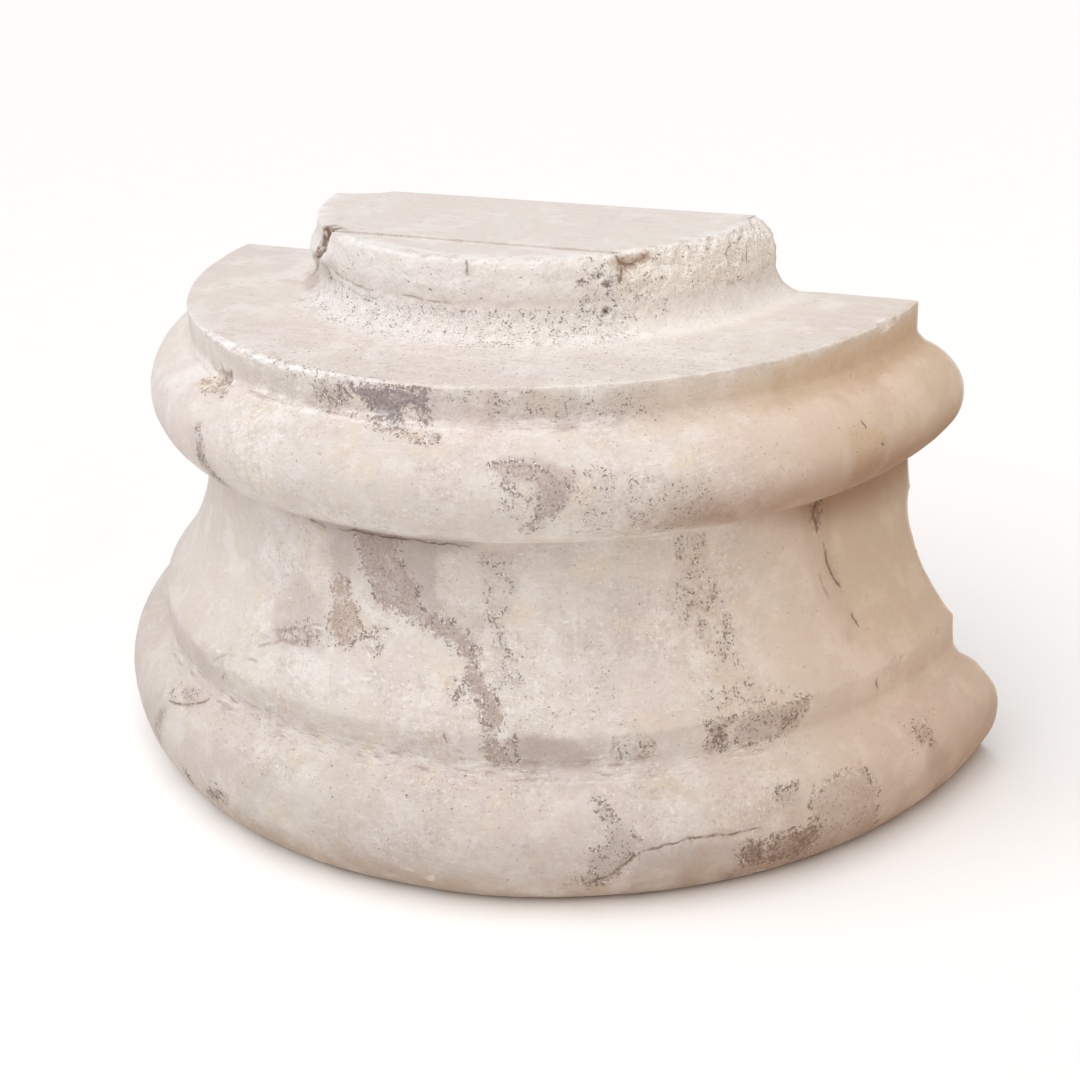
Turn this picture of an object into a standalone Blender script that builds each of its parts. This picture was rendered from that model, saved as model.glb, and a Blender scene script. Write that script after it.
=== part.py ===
"""Half-round base of an engaged column, cut from one block of pale veined stone.

The round front is moulded: a fat torus on the bed, a fillet, a tall scotia, a smaller torus and a plain
fillet. A low, roughly dressed seat for the shaft stands on top. The back is sawn flat for the wall.
The origin is at the middle of the block's footprint, on the bed, with +Z up, the moulded front towards
-Y and the wall towards +Y. Everything is in metres.
"""

import bmesh
import bpy
from math import atan2, cos, degrees, hypot, pi, radians, sin
from mathutils import Matrix, Vector, noise

# Driving dimensions. Heights are above the bed.
LOWER_TORUS_RADIUS = 0.300
LOWER_TORUS_BELLY = 0.042
LOWER_TORUS_TOP = 0.0732
LOWER_TORUS_CORE = 0.274
BED_RADIUS = 0.276
FILLET_FOOT_RADIUS = 0.2725
FILLET_FOOT = 0.0786
ARRIS_RADIUS = 0.2712
ARRIS_HEIGHT = 0.0974
NECK_RADIUS = 0.2321
NECK_HEIGHT = 0.1960
SCOTIA_CURVE = 2.25
UPPER_TORUS_RADIUS = 0.2632
UPPER_TORUS_BELLY = 0.2293
UPPER_TORUS_CORE = 0.2268
UPPER_TORUS_RISE = 0.0323
UPPER_TORUS_DROP = 0.0338
SHELF_RADIUS = 0.2342
SHELF_HEIGHT = 0.2825
UPPER_FILLET_HEIGHT = 0.0180
SEAT_FOOT_RADIUS = 0.165
SEAT_GROOVE_HEIGHT = 0.3005
SEAT_WALL_RADIUS = 0.149
SEAT_TOP_RADIUS = 0.1434
BLOCK_HEIGHT = 0.3257

# The saw cut behind takes a little more than half of the round.
SAW_SETBACK = 0.0098
AXIS_Y = (LOWER_TORUS_RADIUS - SAW_SETBACK) / 2 + SAW_SETBACK
BACK_Y = AXIS_Y - SAW_SETBACK

# A second saw line, parallel to the back, leaves the seat's front strip a little lower.
STEP_DISTANCE = 0.1095
STEP_DEPTH = 0.0012

# Worn edges, and the small hollows that the tool left in the corners under the two fillets.
SHELF_EDGE_WEAR = 0.0015
SEAT_EDGE_WEAR = 0.0025
CORNER_RUN = 0.0007
CORNER_DROP = 0.0026

TURN_STEPS = 144

# The seat's left end was dressed less than its front, and a crack parts the two.
LOBE_TOP_STAND = 0.0045
LOBE_FOOT_STAND = 0.0095
CRACK_TOP_ANGLE = -40.5
CRACK_FOOT_ANGLE = -60.0
TOOLING_DEPTH = 0.0012
TOOLING_PITCH = 70.0
RAGGEDNESS = 0.12

STONE_COLOUR = (0.70, 0.64, 0.585, 1.0)
STONE_ROUGHNESS = 0.82


def clear_scene():
    for item in list(bpy.data.objects):
        bpy.data.objects.remove(item, do_unlink=True)


def new_collection(name):
    group = bpy.data.collections.new(name)
    bpy.context.scene.collection.children.link(group)
    return group


def stone():
    material = bpy.data.materials.new("pale_stone")
    material.use_nodes = True
    shader = material.node_tree.nodes["Principled BSDF"]
    shader.inputs["Base Color"].default_value = STONE_COLOUR
    shader.inputs["Roughness"].default_value = STONE_ROUGHNESS
    shader.inputs["Metallic"].default_value = 0.0
    return material


def smooth(value):
    """Eases from 0 to 1 while value runs from 0 to 1."""
    value = min(max(value, 0.0), 1.0)
    return value * value * (3.0 - 2.0 * value)


def sweep(core, belly, reach, rise, start, end, steps):
    """Points on an ellipse about (core, belly), between two angles in degrees above the horizontal."""
    points = []
    for step in range(steps + 1):
        angle = radians(start + (end - start) * step / steps)
        points.append((core + reach * cos(angle), belly + rise * sin(angle)))
    return points


def seat_line():
    """Top, worn edge, wall and foot cove of the rough seat."""
    wall_drop = BLOCK_HEIGHT - SEAT_GROOVE_HEIGHT
    batter = SEAT_WALL_RADIUS - SEAT_TOP_RADIUS
    line = [
        (0.0, BLOCK_HEIGHT),
        (SEAT_TOP_RADIUS - SEAT_EDGE_WEAR, BLOCK_HEIGHT),
        (SEAT_TOP_RADIUS, BLOCK_HEIGHT - SEAT_EDGE_WEAR / 2),
        (SEAT_WALL_RADIUS - 0.45 * batter, BLOCK_HEIGHT - 0.30 * wall_drop),
        (SEAT_WALL_RADIUS - 0.10 * batter, BLOCK_HEIGHT - 0.70 * wall_drop),
    ]
    cove_reach = SEAT_FOOT_RADIUS - SEAT_WALL_RADIUS
    cove_drop = SEAT_GROOVE_HEIGHT - SHELF_HEIGHT
    cove = sweep(SEAT_FOOT_RADIUS, SEAT_GROOVE_HEIGHT, cove_reach, cove_drop, 180, 270, 5)
    return line + cove


def shelf_line():
    """Sawn shelf, its worn arris and the plain fillet under it."""
    fillet_foot = SHELF_HEIGHT - UPPER_FILLET_HEIGHT
    return [
        (SHELF_RADIUS - SHELF_EDGE_WEAR, SHELF_HEIGHT),
        (SHELF_RADIUS, SHELF_HEIGHT - SHELF_EDGE_WEAR),
        (SHELF_RADIUS, fillet_foot),
        (SHELF_RADIUS + CORNER_RUN, fillet_foot - CORNER_DROP),
    ]


def upper_torus_line():
    reach = UPPER_TORUS_RADIUS - UPPER_TORUS_CORE
    upper = sweep(UPPER_TORUS_CORE, UPPER_TORUS_BELLY, reach, UPPER_TORUS_RISE, 71, 0, 8)
    lower = sweep(UPPER_TORUS_CORE, UPPER_TORUS_BELLY, reach, -UPPER_TORUS_DROP, 0, 81, 8)
    return upper + lower[1:]


def scotia_line():
    """The hollow leaves the neck upright and reaches the arris at about 40 degrees."""
    points = []
    steps = 11
    for step in range(steps + 1):
        part = step / steps
        radius = NECK_RADIUS + (ARRIS_RADIUS - NECK_RADIUS) * part ** SCOTIA_CURVE
        points.append((radius, NECK_HEIGHT + (ARRIS_HEIGHT - NECK_HEIGHT) * part))
    return points


def lower_torus_line():
    """Fillet under the arris, then the torus down to the bed."""
    line = [
        (FILLET_FOOT_RADIUS, FILLET_FOOT),
        (FILLET_FOOT_RADIUS + CORNER_RUN, FILLET_FOOT - CORNER_DROP),
    ]
    upper_reach = LOWER_TORUS_RADIUS - LOWER_TORUS_CORE
    upper_rise = LOWER_TORUS_TOP - LOWER_TORUS_BELLY
    upper = sweep(LOWER_TORUS_CORE, LOWER_TORUS_BELLY, upper_reach, upper_rise, 84, 0, 8)
    lower_reach = LOWER_TORUS_RADIUS - BED_RADIUS
    lower = sweep(BED_RADIUS, LOWER_TORUS_BELLY, lower_reach, -LOWER_TORUS_BELLY, 0, 90, 7)
    return line + upper + lower[1:] + [(0.0, 0.0)]


def turned_block(collection):
    """Turns the moulding's line about the column's axis and returns the whole round as a mesh object."""
    line = seat_line() + shelf_line() + upper_torus_line() + scotia_line() + lower_torus_line()
    points = [(radius, 0.0, height) for radius, height in line]
    edges = [(index, index + 1) for index in range(len(points) - 1)]
    outline = bpy.data.meshes.new("moulding_line")
    outline.from_pydata(points, edges, [])
    turned = bpy.data.objects.new("moulding_line", outline)
    collection.objects.link(turned)
    screw = turned.modifiers.new("turn", "SCREW")
    screw.axis = "Z"
    screw.angle = 2 * pi
    screw.steps = TURN_STEPS
    screw.render_steps = TURN_STEPS
    screw.use_merge_vertices = True
    screw.merge_threshold = 0.00005

    graph = bpy.context.evaluated_depsgraph_get()
    mesh = bpy.data.meshes.new_from_object(turned.evaluated_get(graph))
    mesh.name = "column_base"
    bpy.data.objects.remove(turned)
    block = bpy.data.objects.new("column_base", mesh)
    block.location = (0.0, AXIS_Y, 0.0)
    collection.objects.link(block)
    return block


def crack_angle(height):
    """Where the crack in the seat's wall stands, in degrees from the front, left being negative."""
    fall = (BLOCK_HEIGHT - height) / (BLOCK_HEIGHT - SHELF_HEIGHT)
    return CRACK_TOP_ANGLE + (CRACK_FOOT_ANGLE - CRACK_TOP_ANGLE) * min(max(fall, 0.0), 1.0) ** 2


def dress_seat(block):
    """Moves the seat's wall in and out, as the mason's punch left it."""
    for vertex in block.data.vertices:
        x, y, height = vertex.co
        radius = hypot(x, y)
        if height < SHELF_HEIGHT + 0.0005 or radius < SEAT_TOP_RADIUS - 0.004:
            continue
        angle = degrees(atan2(x, -y))
        fall = (BLOCK_HEIGHT - height) / (BLOCK_HEIGHT - SHELF_HEIGHT)
        lobe = LOBE_TOP_STAND + (LOBE_FOOT_STAND - LOBE_TOP_STAND) * fall
        stand = lobe * smooth((crack_angle(height) - angle) / 6.0)
        roughness = 0.4 + 0.6 * smooth((angle - 20.0) / 20.0)
        stand += TOOLING_DEPTH * roughness * noise.noise(Vector((x, y, height)) * TOOLING_PITCH)
        scale = (radius + stand) / radius
        vertex.co = (x * scale, y * scale, height)


def on_round(angle, radius, height):
    """The point at an angle in degrees from the front, left being negative."""
    turn = radians(angle)
    return Vector((radius * sin(turn), AXIS_Y - radius * cos(turn), height))


def box_cutter(name, collection, low, high):
    bpy.ops.mesh.primitive_cube_add(size=1.0)
    cutter = bpy.context.object
    cutter.name = name
    middle = (Vector(low) + Vector(high)) / 2
    span = Vector(high) - Vector(low)
    cutter.data.transform(Matrix.Translation(middle) @ Matrix.Diagonal((*span, 1.0)))
    return file_cutter(cutter, collection)


def knock(block, collection, name, place, half_sizes, turn=0.0, lean=0.0, detail=2):
    """Knocks out a chip with a ragged ball, flattened to half_sizes along the arc, inwards and upwards."""
    mesh = bpy.data.meshes.new(name)
    shape = bmesh.new()
    bmesh.ops.create_icosphere(shape, subdivisions=detail, radius=1.0)
    for vertex in shape.verts:
        vertex.co *= 1.0 + RAGGEDNESS * noise.noise(vertex.co * 1.7 + place * 40.0)
    shape.to_mesh(mesh)
    shape.free()
    spin = Matrix.Rotation(radians(turn), 4, "Z") @ Matrix.Rotation(radians(lean), 4, "Y")
    mesh.transform(Matrix.Translation(place) @ spin @ Matrix.Diagonal((*half_sizes, 1.0)))
    cutter = bpy.data.objects.new(name, mesh)
    bpy.context.scene.collection.objects.link(cutter)
    cut(block, file_cutter(cutter, collection))


def file_cutter(cutter, collection):
    for group in list(cutter.users_collection):
        group.objects.unlink(cutter)
    collection.objects.link(cutter)
    cutter.display_type = "WIRE"
    cutter.hide_render = True
    return cutter


def cut(block, cutter):
    take = block.modifiers.new(cutter.name, "BOOLEAN")
    take.operation = "DIFFERENCE"
    take.solver = "EXACT"
    take.object = cutter


def saw_cuts(block, cutters):
    margin = 0.05
    reach = LOWER_TORUS_RADIUS + margin
    back_low = (-reach, BACK_Y, -margin)
    back_high = (reach, BACK_Y + reach + margin, BLOCK_HEIGHT + margin)
    cut(block, box_cutter("back_saw_cut", cutters, back_low, back_high))
    step_low = (-reach, AXIS_Y - reach, BLOCK_HEIGHT - STEP_DEPTH)
    step_high = (reach, AXIS_Y - STEP_DISTANCE, BLOCK_HEIGHT + margin)
    cut(block, box_cutter("seat_saw_step", cutters, step_low, step_high))


def knock_front(block, collection, name, angle, radius, height, half_sizes, lean=0.0, detail=2):
    """A chip in the round front, turned to face outwards."""
    place = on_round(angle, radius, height)
    knock(block, collection, name, place, half_sizes, turn=angle, lean=lean, detail=detail)


def back_edge_damage(block, cutters):
    """A long scoop is broken out of the right back edge, and the seat's left back corner is gone."""
    spall = Vector((0.290, BACK_Y, 0.092))
    knock(block, cutters, "back_edge_spall", spall, (0.110, 0.0245, 0.088), detail=3)
    corner = Vector((-SEAT_WALL_RADIUS, BACK_Y, BLOCK_HEIGHT))
    knock(block, cutters, "seat_corner_chip", corner, (0.040, 0.014, 0.007), lean=-6.0)


def seat_damage(block, cutters):
    """The crack that runs down the seat's left end, a hollow in its edge and a hole at its foot."""
    knock_front(block, cutters, "seat_crack", -41.5, 0.152, 0.314, (0.0022, 0.0075, 0.016), lean=20.0)
    knock_front(block, cutters, "seat_crack_foot", -50.0, 0.160, 0.297, (0.0022, 0.007, 0.014), lean=48.0)
    knock_front(block, cutters, "seat_edge_hollow", 41.0, 0.150, 0.321, (0.013, 0.006, 0.008), lean=8.0)
    knock_front(block, cutters, "seat_hole", 36.0, 0.149, 0.294, (0.004, 0.0045, 0.005), detail=1)


def moulding_damage(block, cutters):
    """Chips in the arrises, a flake off the lower torus and a pecked hollow over the upper one."""
    knock_front(block, cutters, "shelf_chip", 76.2, 0.2345, SHELF_HEIGHT, (0.0085, 0.005, 0.006), detail=1)
    knock_front(block, cutters, "pecked_hollow", -29.5, 0.239, 0.264, (0.012, 0.0035, 0.008))
    knock_front(block, cutters, "arris_chip", -28.5, 0.2735, ARRIS_HEIGHT, (0.009, 0.0035, 0.005), lean=25.0)
    knock_front(block, cutters, "torus_scar", -28.5, 0.295, 0.0745, (0.017, 0.012, 0.004), lean=4.0)
    knock_front(block, cutters, "torus_flake", -33.2, 0.3015, 0.050, (0.009, 0.004, 0.011), lean=30.0)


clear_scene()
parts = new_collection("half_column_base")
cutters = new_collection("cutters")
base = turned_block(parts)
dress_seat(base)
base.data.materials.clear()
base.data.materials.append(stone())
base.data.shade_smooth()
base.data.set_sharp_from_angle(angle=radians(32.0))
saw_cuts(base, cutters)
back_edge_damage(base, cutters)
seat_damage(base, cutters)
moulding_damage(base, cutters)
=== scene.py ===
"""Half-round base of an engaged column, in pale veined stone, on a plain pale floor."""

import random
from math import cos, pi, radians, sin

import bpy
import numpy as np
from mathutils import Matrix, Vector, noise
from mathutils.kdtree import KDTree


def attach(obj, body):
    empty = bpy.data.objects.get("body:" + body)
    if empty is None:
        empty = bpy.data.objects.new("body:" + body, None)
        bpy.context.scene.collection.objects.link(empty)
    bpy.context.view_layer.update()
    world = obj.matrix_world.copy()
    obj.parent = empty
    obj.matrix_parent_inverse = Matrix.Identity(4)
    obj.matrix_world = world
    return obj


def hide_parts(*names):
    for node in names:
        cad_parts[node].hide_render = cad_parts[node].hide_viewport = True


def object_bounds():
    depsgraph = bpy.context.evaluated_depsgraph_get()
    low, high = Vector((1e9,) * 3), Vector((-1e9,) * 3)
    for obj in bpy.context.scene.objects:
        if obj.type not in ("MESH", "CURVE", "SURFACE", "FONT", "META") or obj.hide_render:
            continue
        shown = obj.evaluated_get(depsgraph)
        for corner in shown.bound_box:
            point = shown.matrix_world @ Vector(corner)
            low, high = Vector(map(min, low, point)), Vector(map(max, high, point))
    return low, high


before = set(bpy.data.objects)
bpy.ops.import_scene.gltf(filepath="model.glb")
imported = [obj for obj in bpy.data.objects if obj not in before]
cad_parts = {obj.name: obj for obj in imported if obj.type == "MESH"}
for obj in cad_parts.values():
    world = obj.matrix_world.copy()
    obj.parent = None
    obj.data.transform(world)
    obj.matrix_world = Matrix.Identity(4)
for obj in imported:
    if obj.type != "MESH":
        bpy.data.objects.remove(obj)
cad_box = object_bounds()


# The block
#
# One piece of pale veined stone. Its round front was moulded by hand: from the bed up, a fat torus,
# a fillet, a tall scotia, a smaller torus and a plain fillet. The back and the two tops are sawn
# flat, and the low seat in the middle, where the shaft stood, was only roughed out with a punch.

BLOCK_HEIGHT = cad_box[1][2]
BACK = cad_box[1][1]
SAW_SETBACK = 0.0098
AXIS = BACK + SAW_SETBACK

LOWER_TORUS_RADIUS = 0.2997
LOWER_TORUS_BELLY = 0.042
LOWER_TORUS_TOP = 0.0732
LOWER_TORUS_CORE = 0.274
BED_RADIUS = 0.276
FILLET_FOOT_RADIUS = 0.2725
FILLET_FOOT = 0.0786
ARRIS_RADIUS = 0.2712
ARRIS_HEIGHT = 0.0974
NECK_RADIUS = 0.2321
NECK_HEIGHT = 0.1960
SCOTIA_CURVE = 2.25
UPPER_TORUS_RADIUS = 0.2631
UPPER_TORUS_BELLY = 0.2293
UPPER_TORUS_CORE = 0.2268
UPPER_TORUS_RISE = 0.0323
UPPER_TORUS_DROP = 0.0338
SHELF_RADIUS = 0.2342
SHELF_HEIGHT = 0.2825
UPPER_FILLET_FOOT = 0.2645
SEAT_FOOT_RADIUS = 0.165
GROOVE_HEIGHT = 0.3005
SEAT_WALL_RADIUS = 0.149
SEAT_TOP_RADIUS = 0.1434
SPARE = 0.0090  # what the seat stands above its height until its top is sawn
CURVE_STEPS = 40
HOLLOW_STEPS = 60


def curve(core, belly, reach, rise, start, end):
    """Points on an ellipse about (core, belly), between two angles in degrees above the horizontal."""
    points = []
    for step in range(CURVE_STEPS + 1):
        turn = radians(start + (end - start) * step / CURVE_STEPS)
        points.append((core + reach * cos(turn), belly + rise * sin(turn)))
    return points


def hollow():
    """The scotia leaves the neck upright and meets the arris at about 40 degrees."""
    points = []
    for step in range(HOLLOW_STEPS + 1):
        part = step / HOLLOW_STEPS
        radius = NECK_RADIUS + (ARRIS_RADIUS - NECK_RADIUS) * part ** SCOTIA_CURVE
        points.append((radius, NECK_HEIGHT + (ARRIS_HEIGHT - NECK_HEIGHT) * part))
    return points


foot_reach = SEAT_FOOT_RADIUS - SEAT_WALL_RADIUS
foot_drop = GROOVE_HEIGHT - SHELF_HEIGHT
upper_reach = UPPER_TORUS_RADIUS - UPPER_TORUS_CORE
lower_reach = LOWER_TORUS_RADIUS - LOWER_TORUS_CORE
bed_reach = LOWER_TORUS_RADIUS - BED_RADIUS
lower_rise = LOWER_TORUS_TOP - LOWER_TORUS_BELLY

# The moulding's line, by radius and height, from over the seat's top down to the bed.
seat_wall = [(0.1418, BLOCK_HEIGHT + SPARE), (SEAT_TOP_RADIUS, BLOCK_HEIGHT)]
seat_wall += [(0.1460, 0.3190), (0.1484, 0.3095)]
seat_foot = curve(SEAT_FOOT_RADIUS, GROOVE_HEIGHT, foot_reach, foot_drop, 180, 270)
shelf = [(SHELF_RADIUS, SHELF_HEIGHT), (SHELF_RADIUS, UPPER_FILLET_FOOT)]
upper_torus = curve(UPPER_TORUS_CORE, UPPER_TORUS_BELLY, upper_reach, UPPER_TORUS_RISE, 71, 0)
upper_torus += curve(UPPER_TORUS_CORE, UPPER_TORUS_BELLY, upper_reach, -UPPER_TORUS_DROP, 0, 81)[1:]
lower_fillet = [(FILLET_FOOT_RADIUS, FILLET_FOOT)]
lower_torus = curve(LOWER_TORUS_CORE, LOWER_TORUS_BELLY, lower_reach, lower_rise, 84, 0)
lower_torus += curve(BED_RADIUS, LOWER_TORUS_BELLY, bed_reach, -LOWER_TORUS_BELLY, 0, 90)[1:]
drawn_line = seat_wall + seat_foot + shelf + upper_torus + hollow() + lower_fillet + lower_torus


def along(points):
    """How far each point lies along its line."""
    steps = np.linalg.norm(np.diff(points, axis=0), axis=1)
    return np.concatenate([[0.0], np.cumsum(steps)])


def read_off(line, lengths, wanted):
    """The radius and the height of a line at the wanted lengths."""
    return np.stack([np.interp(wanted, lengths, column) for column in line.T], axis=1)


# Time has rounded every corner of the moulding a little: the drawn line is softened over about a
# millimetre.
FINE = 0.0002
WEAR = 0.0009
drawn_line = np.array(drawn_line)
drawn_length = along(drawn_line)
fine_length = np.arange(0.0, drawn_length[-1], FINE)
fine_line = read_off(drawn_line, drawn_length, fine_length)
reach = int(3 * WEAR / FINE)
weights = np.exp(-0.5 * (np.arange(-reach, reach + 1) * FINE / WEAR) ** 2)
weights /= weights.sum()
padded = np.pad(fine_line, ((reach, reach), (0, 0)), mode="edge")
worn_line = np.stack([np.convolve(column, weights, mode="valid") for column in padded.T], axis=1)
worn_length = along(worn_line)


def length_at(radius, height):
    """How far along the worn line the point nearest to a radius and a height lies."""
    return worn_length[np.argmin(np.hypot(worn_line[:, 0] - radius, worn_line[:, 1] - height))]


GROOVE = length_at(SEAT_WALL_RADIUS, GROOVE_HEIGHT)
SEAT_FOOT = length_at(SEAT_FOOT_RADIUS, SHELF_HEIGHT)
SHELF_EDGE = length_at(SHELF_RADIUS, SHELF_HEIGHT)
UPPER_COVE = length_at(SHELF_RADIUS + 0.002, UPPER_FILLET_FOOT - 0.003)
NECK = length_at(NECK_RADIUS, NECK_HEIGHT)
ARRIS = length_at(ARRIS_RADIUS, ARRIS_HEIGHT)
LOWER_COVE = length_at(FILLET_FOOT_RADIUS, FILLET_FOOT - 0.004)

# The mesh is fine where the stone is rough or its corners are sharp, and coarser on the long smooth
# curves. Each row is a length down the line and the size of a cell there, both in metres.
pitches = [
    (0.0, 0.0014),
    (SEAT_FOOT, 0.0014),
    (SEAT_FOOT + 0.012, 0.0036),
    (SHELF_EDGE - 0.008, 0.0034),
    (SHELF_EDGE - 0.003, 0.0009),
    (SHELF_EDGE + 0.004, 0.0009),
    (SHELF_EDGE + 0.008, 0.0020),
    (UPPER_COVE + 0.004, 0.0018),
    (UPPER_COVE + 0.012, 0.0033),
    (NECK - 0.010, 0.0036),
    (NECK, 0.0022),
    (NECK + 0.010, 0.0036),
    (ARRIS - 0.012, 0.0034),
    (ARRIS - 0.003, 0.0011),
    (ARRIS + 0.003, 0.0011),
    (ARRIS + 0.008, 0.0018),
    (LOWER_COVE + 0.006, 0.0017),
    (LOWER_COVE + 0.016, 0.0033),
    (worn_length[-1], 0.0045),
]
pitch = np.interp(worn_length, [place for place, _ in pitches], [size for _, size in pitches])
row_number = np.concatenate([[0.0], np.cumsum(np.diff(worn_length) / pitch[1:])])
rows = round(row_number[-1])
row_length = np.interp(np.linspace(0.0, row_number[-1], rows + 1), row_number, worn_length)
row_line = read_off(worn_line, worn_length, row_length)
row_line[-1, 1] = 0.0


def edit():
    bpy.ops.object.mode_set(mode="EDIT")


def leave():
    bpy.ops.object.mode_set(mode="OBJECT")


def pick(piece, chosen):
    """Selects only the vertices that are marked in chosen."""
    edit()
    bpy.ops.mesh.select_mode(type="VERT")
    bpy.ops.mesh.select_all(action="DESELECT")
    leave()
    piece.data.vertices.foreach_set("select", chosen)
    edit()


def places(piece):
    """The places of a piece's vertices, one row each."""
    points = np.empty(len(piece.data.vertices) * 3)
    piece.data.vertices.foreach_get("co", points)
    return points.reshape(-1, 3)


def directions(piece):
    """The normals of a piece's vertices, one row each."""
    normals = np.empty(len(piece.data.vertices) * 3)
    piece.data.vertex_normals.foreach_get("vector", normals)
    return normals.reshape(-1, 3)


def put(piece, points):
    piece.data.vertices.foreach_set("co", points.ravel())
    piece.data.update()


bpy.ops.object.select_all(action="DESELECT")
bpy.ops.mesh.primitive_plane_add(size=0.001, location=(row_line[0, 0], AXIS, row_line[0, 1]))
block = bpy.context.object
block.name = "moulded_block"
edit()
bpy.ops.mesh.select_mode(type="VERT")
bpy.ops.mesh.merge(type="CENTER")
for out, rise in np.diff(row_line, axis=0):
    bpy.ops.mesh.extrude_region_move(TRANSFORM_OT_translate={"value": (out, 0.0, rise)})
leave()
bpy.ops.object.transform_apply(location=True)

# The line is turned half round the column's axis, from right to left, and the half drum is closed.
TURN_STEPS = 480
TOUCHING = 0.00001  # how near a vertex lies to the plane that it is on
bpy.context.scene.cursor.location = (0.0, AXIS, 0.0)
bpy.ops.object.origin_set(type="ORIGIN_CURSOR")
turn = block.modifiers.new("turn", "SCREW")
turn.angle = -pi
turn.steps = TURN_STEPS
turn.render_steps = TURN_STEPS
turn.use_merge_vertices = False
bpy.ops.object.modifier_apply(modifier=turn.name)
bpy.ops.object.transform_apply(location=True)
bpy.context.scene.cursor.location = (0.0, 0.0, 0.0)


def close_with_face(piece, chosen):
    """Fills the open edge that the chosen vertices lie on with one face."""
    pick(piece, chosen)
    bpy.ops.mesh.edge_face_add()
    leave()


drum = places(block)
close_with_face(block, drum[:, 2] > drum[:, 2].max() - TOUCHING)
close_with_face(block, drum[:, 2] < TOUCHING)
close_with_face(block, drum[:, 1] > AXIS - TOUCHING)
edit()
bpy.ops.mesh.select_all(action="SELECT")
bpy.ops.mesh.normals_make_consistent(inside=False)
leave()
block.data.shade_smooth()

# Every vertex is known by its angle from the front, in degrees with the right side positive, and by
# how far along the moulding's line it lies.
line_tree = KDTree(len(worn_line))
for number, spot in enumerate(worn_line):
    line_tree.insert((*spot, 0.0), number)
line_tree.balance()


def unroll(points):
    """The angle from the front, the length down the line and the radius of each point."""
    angle = np.degrees(np.arctan2(points[:, 0], AXIS - points[:, 1]))
    radius = np.hypot(points[:, 0], points[:, 1] - AXIS)
    nearest = [line_tree.find((*spot, 0.0))[1] for spot in zip(radius, points[:, 2])]
    return angle, worn_length[nearest], radius


def ease(value):
    """Runs smoothly from 0 to 1 as value does."""
    value = np.clip(value, 0.0, 1.0)
    return value * value * (3.0 - 2.0 * value)


def between(value, low, fade_in, high, fade_out):
    """1 between low and high; it fades in beyond low and out again before high."""
    return ease((value - low) / fade_in) * ease((high - value) / fade_out)


def bumps(points, size, octaves=3, shift=0.0):
    """Fractal noise, about -1 to 1, with forms of about the given size in metres."""
    moved = points / size + shift
    return np.array([noise.fractal(place, 0.9, 2.0, octaves) for place in moved.tolist()])


def scoops(points, size, shift=0.0):
    """Round scoops that meet in ridges: 0 at the bottom of a scoop and 1 on a ridge."""
    moved = points / size + shift
    return np.array([noise.voronoi(place)[0][0] for place in moved.tolist()])


def on_front(angle, radius, height):
    turn = radians(angle)
    return np.array([radius * sin(turn), AXIS - radius * cos(turn), height])


def facing(angle, tilt):
    """Outwards at an angle from the front, and up by tilt degrees."""
    turn = radians(angle)
    rise = radians(tilt)
    return np.array([sin(turn) * cos(rise), -cos(turn) * cos(rise), sin(rise)])


def crease_at(points):
    """How far down the line the wavy crease under the seat's rough wall lies."""
    return GROOVE + 0.0016 * bumps(points, 0.022, 2, 13.0)


# How the mason's hand shows: the mouldings aren't quite true, and the seat's wall was only punched,
# more coarsely to the right.
COARSE_FROM = 36.0
points = places(block)
out = directions(block)
angle, length, _ = unroll(points)
carved = (points[:, 1] < AXIS - 0.002) & (points[:, 2] > 0.0005)
carved &= points[:, 2] < BLOCK_HEIGHT + SPARE - 0.001
on_shelf = between(length, SEAT_FOOT + 0.004, 0.006, SHELF_EDGE - 0.001, 0.002)
move = 0.00045 * bumps(points, 0.070, 2) + 0.00022 * bumps(points, 0.020, 3, 7.0) - 0.0002
move *= 1.0 - on_shelf
on_seat = ease((SEAT_FOOT + 0.004 - length) / 0.010)
on_wall = 1.0 - ease((length - GROOVE) / 0.008)
coarse = ease((angle - COARSE_FROM) / 10.0)
rough = 0.00035 * bumps(points, 0.006, 3, 3.0) + 0.0008 * bumps(points, 0.022, 2, 5.0)
broken = np.abs(bumps(points, 0.011, 4, 9.0))
crumbled = ease((bumps(points, 0.018, 2, 15.0) - 0.05) / 0.3)
ridges = np.abs(bumps(points * (1.0, 1.0, 0.30), 0.007, 2, 25.0))
lumps = 0.0004 - 0.0012 * broken - 0.0011 * crumbled * (0.3 + broken) - 0.0007 * ridges
move += on_seat * rough + on_wall * coarse * lumps
foot_part = np.clip((length - GROOVE) / (SEAT_FOOT - GROOVE), 0.0, 1.0)
move -= 0.0005 * ease((angle - 58.0) / 18.0) * np.sin(pi * foot_part)

# The foot of the seat, below its wall, is strewn with coarse grains and small pits.
rubble = between(length, GROOVE - 0.002, 0.006, SEAT_FOOT + 0.006, 0.008)
rubble *= between(angle, -50.0, 8.0, 48.0, 10.0)
move += rubble * 0.0006 * bumps(points, 0.0042, 2, 21.0)

# The rough wall overhangs a soft crease where the moulded foot of the seat begins.
crease = ease(1.0 - np.abs(length - crease_at(points)) / 0.0030) * (1.0 - coarse) * (angle > -40.0)
move -= 0.0011 * crease * (0.6 + 0.6 * bumps(points, 0.030, 2, 17.0))
points += out * (move * carved)[:, None]

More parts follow.
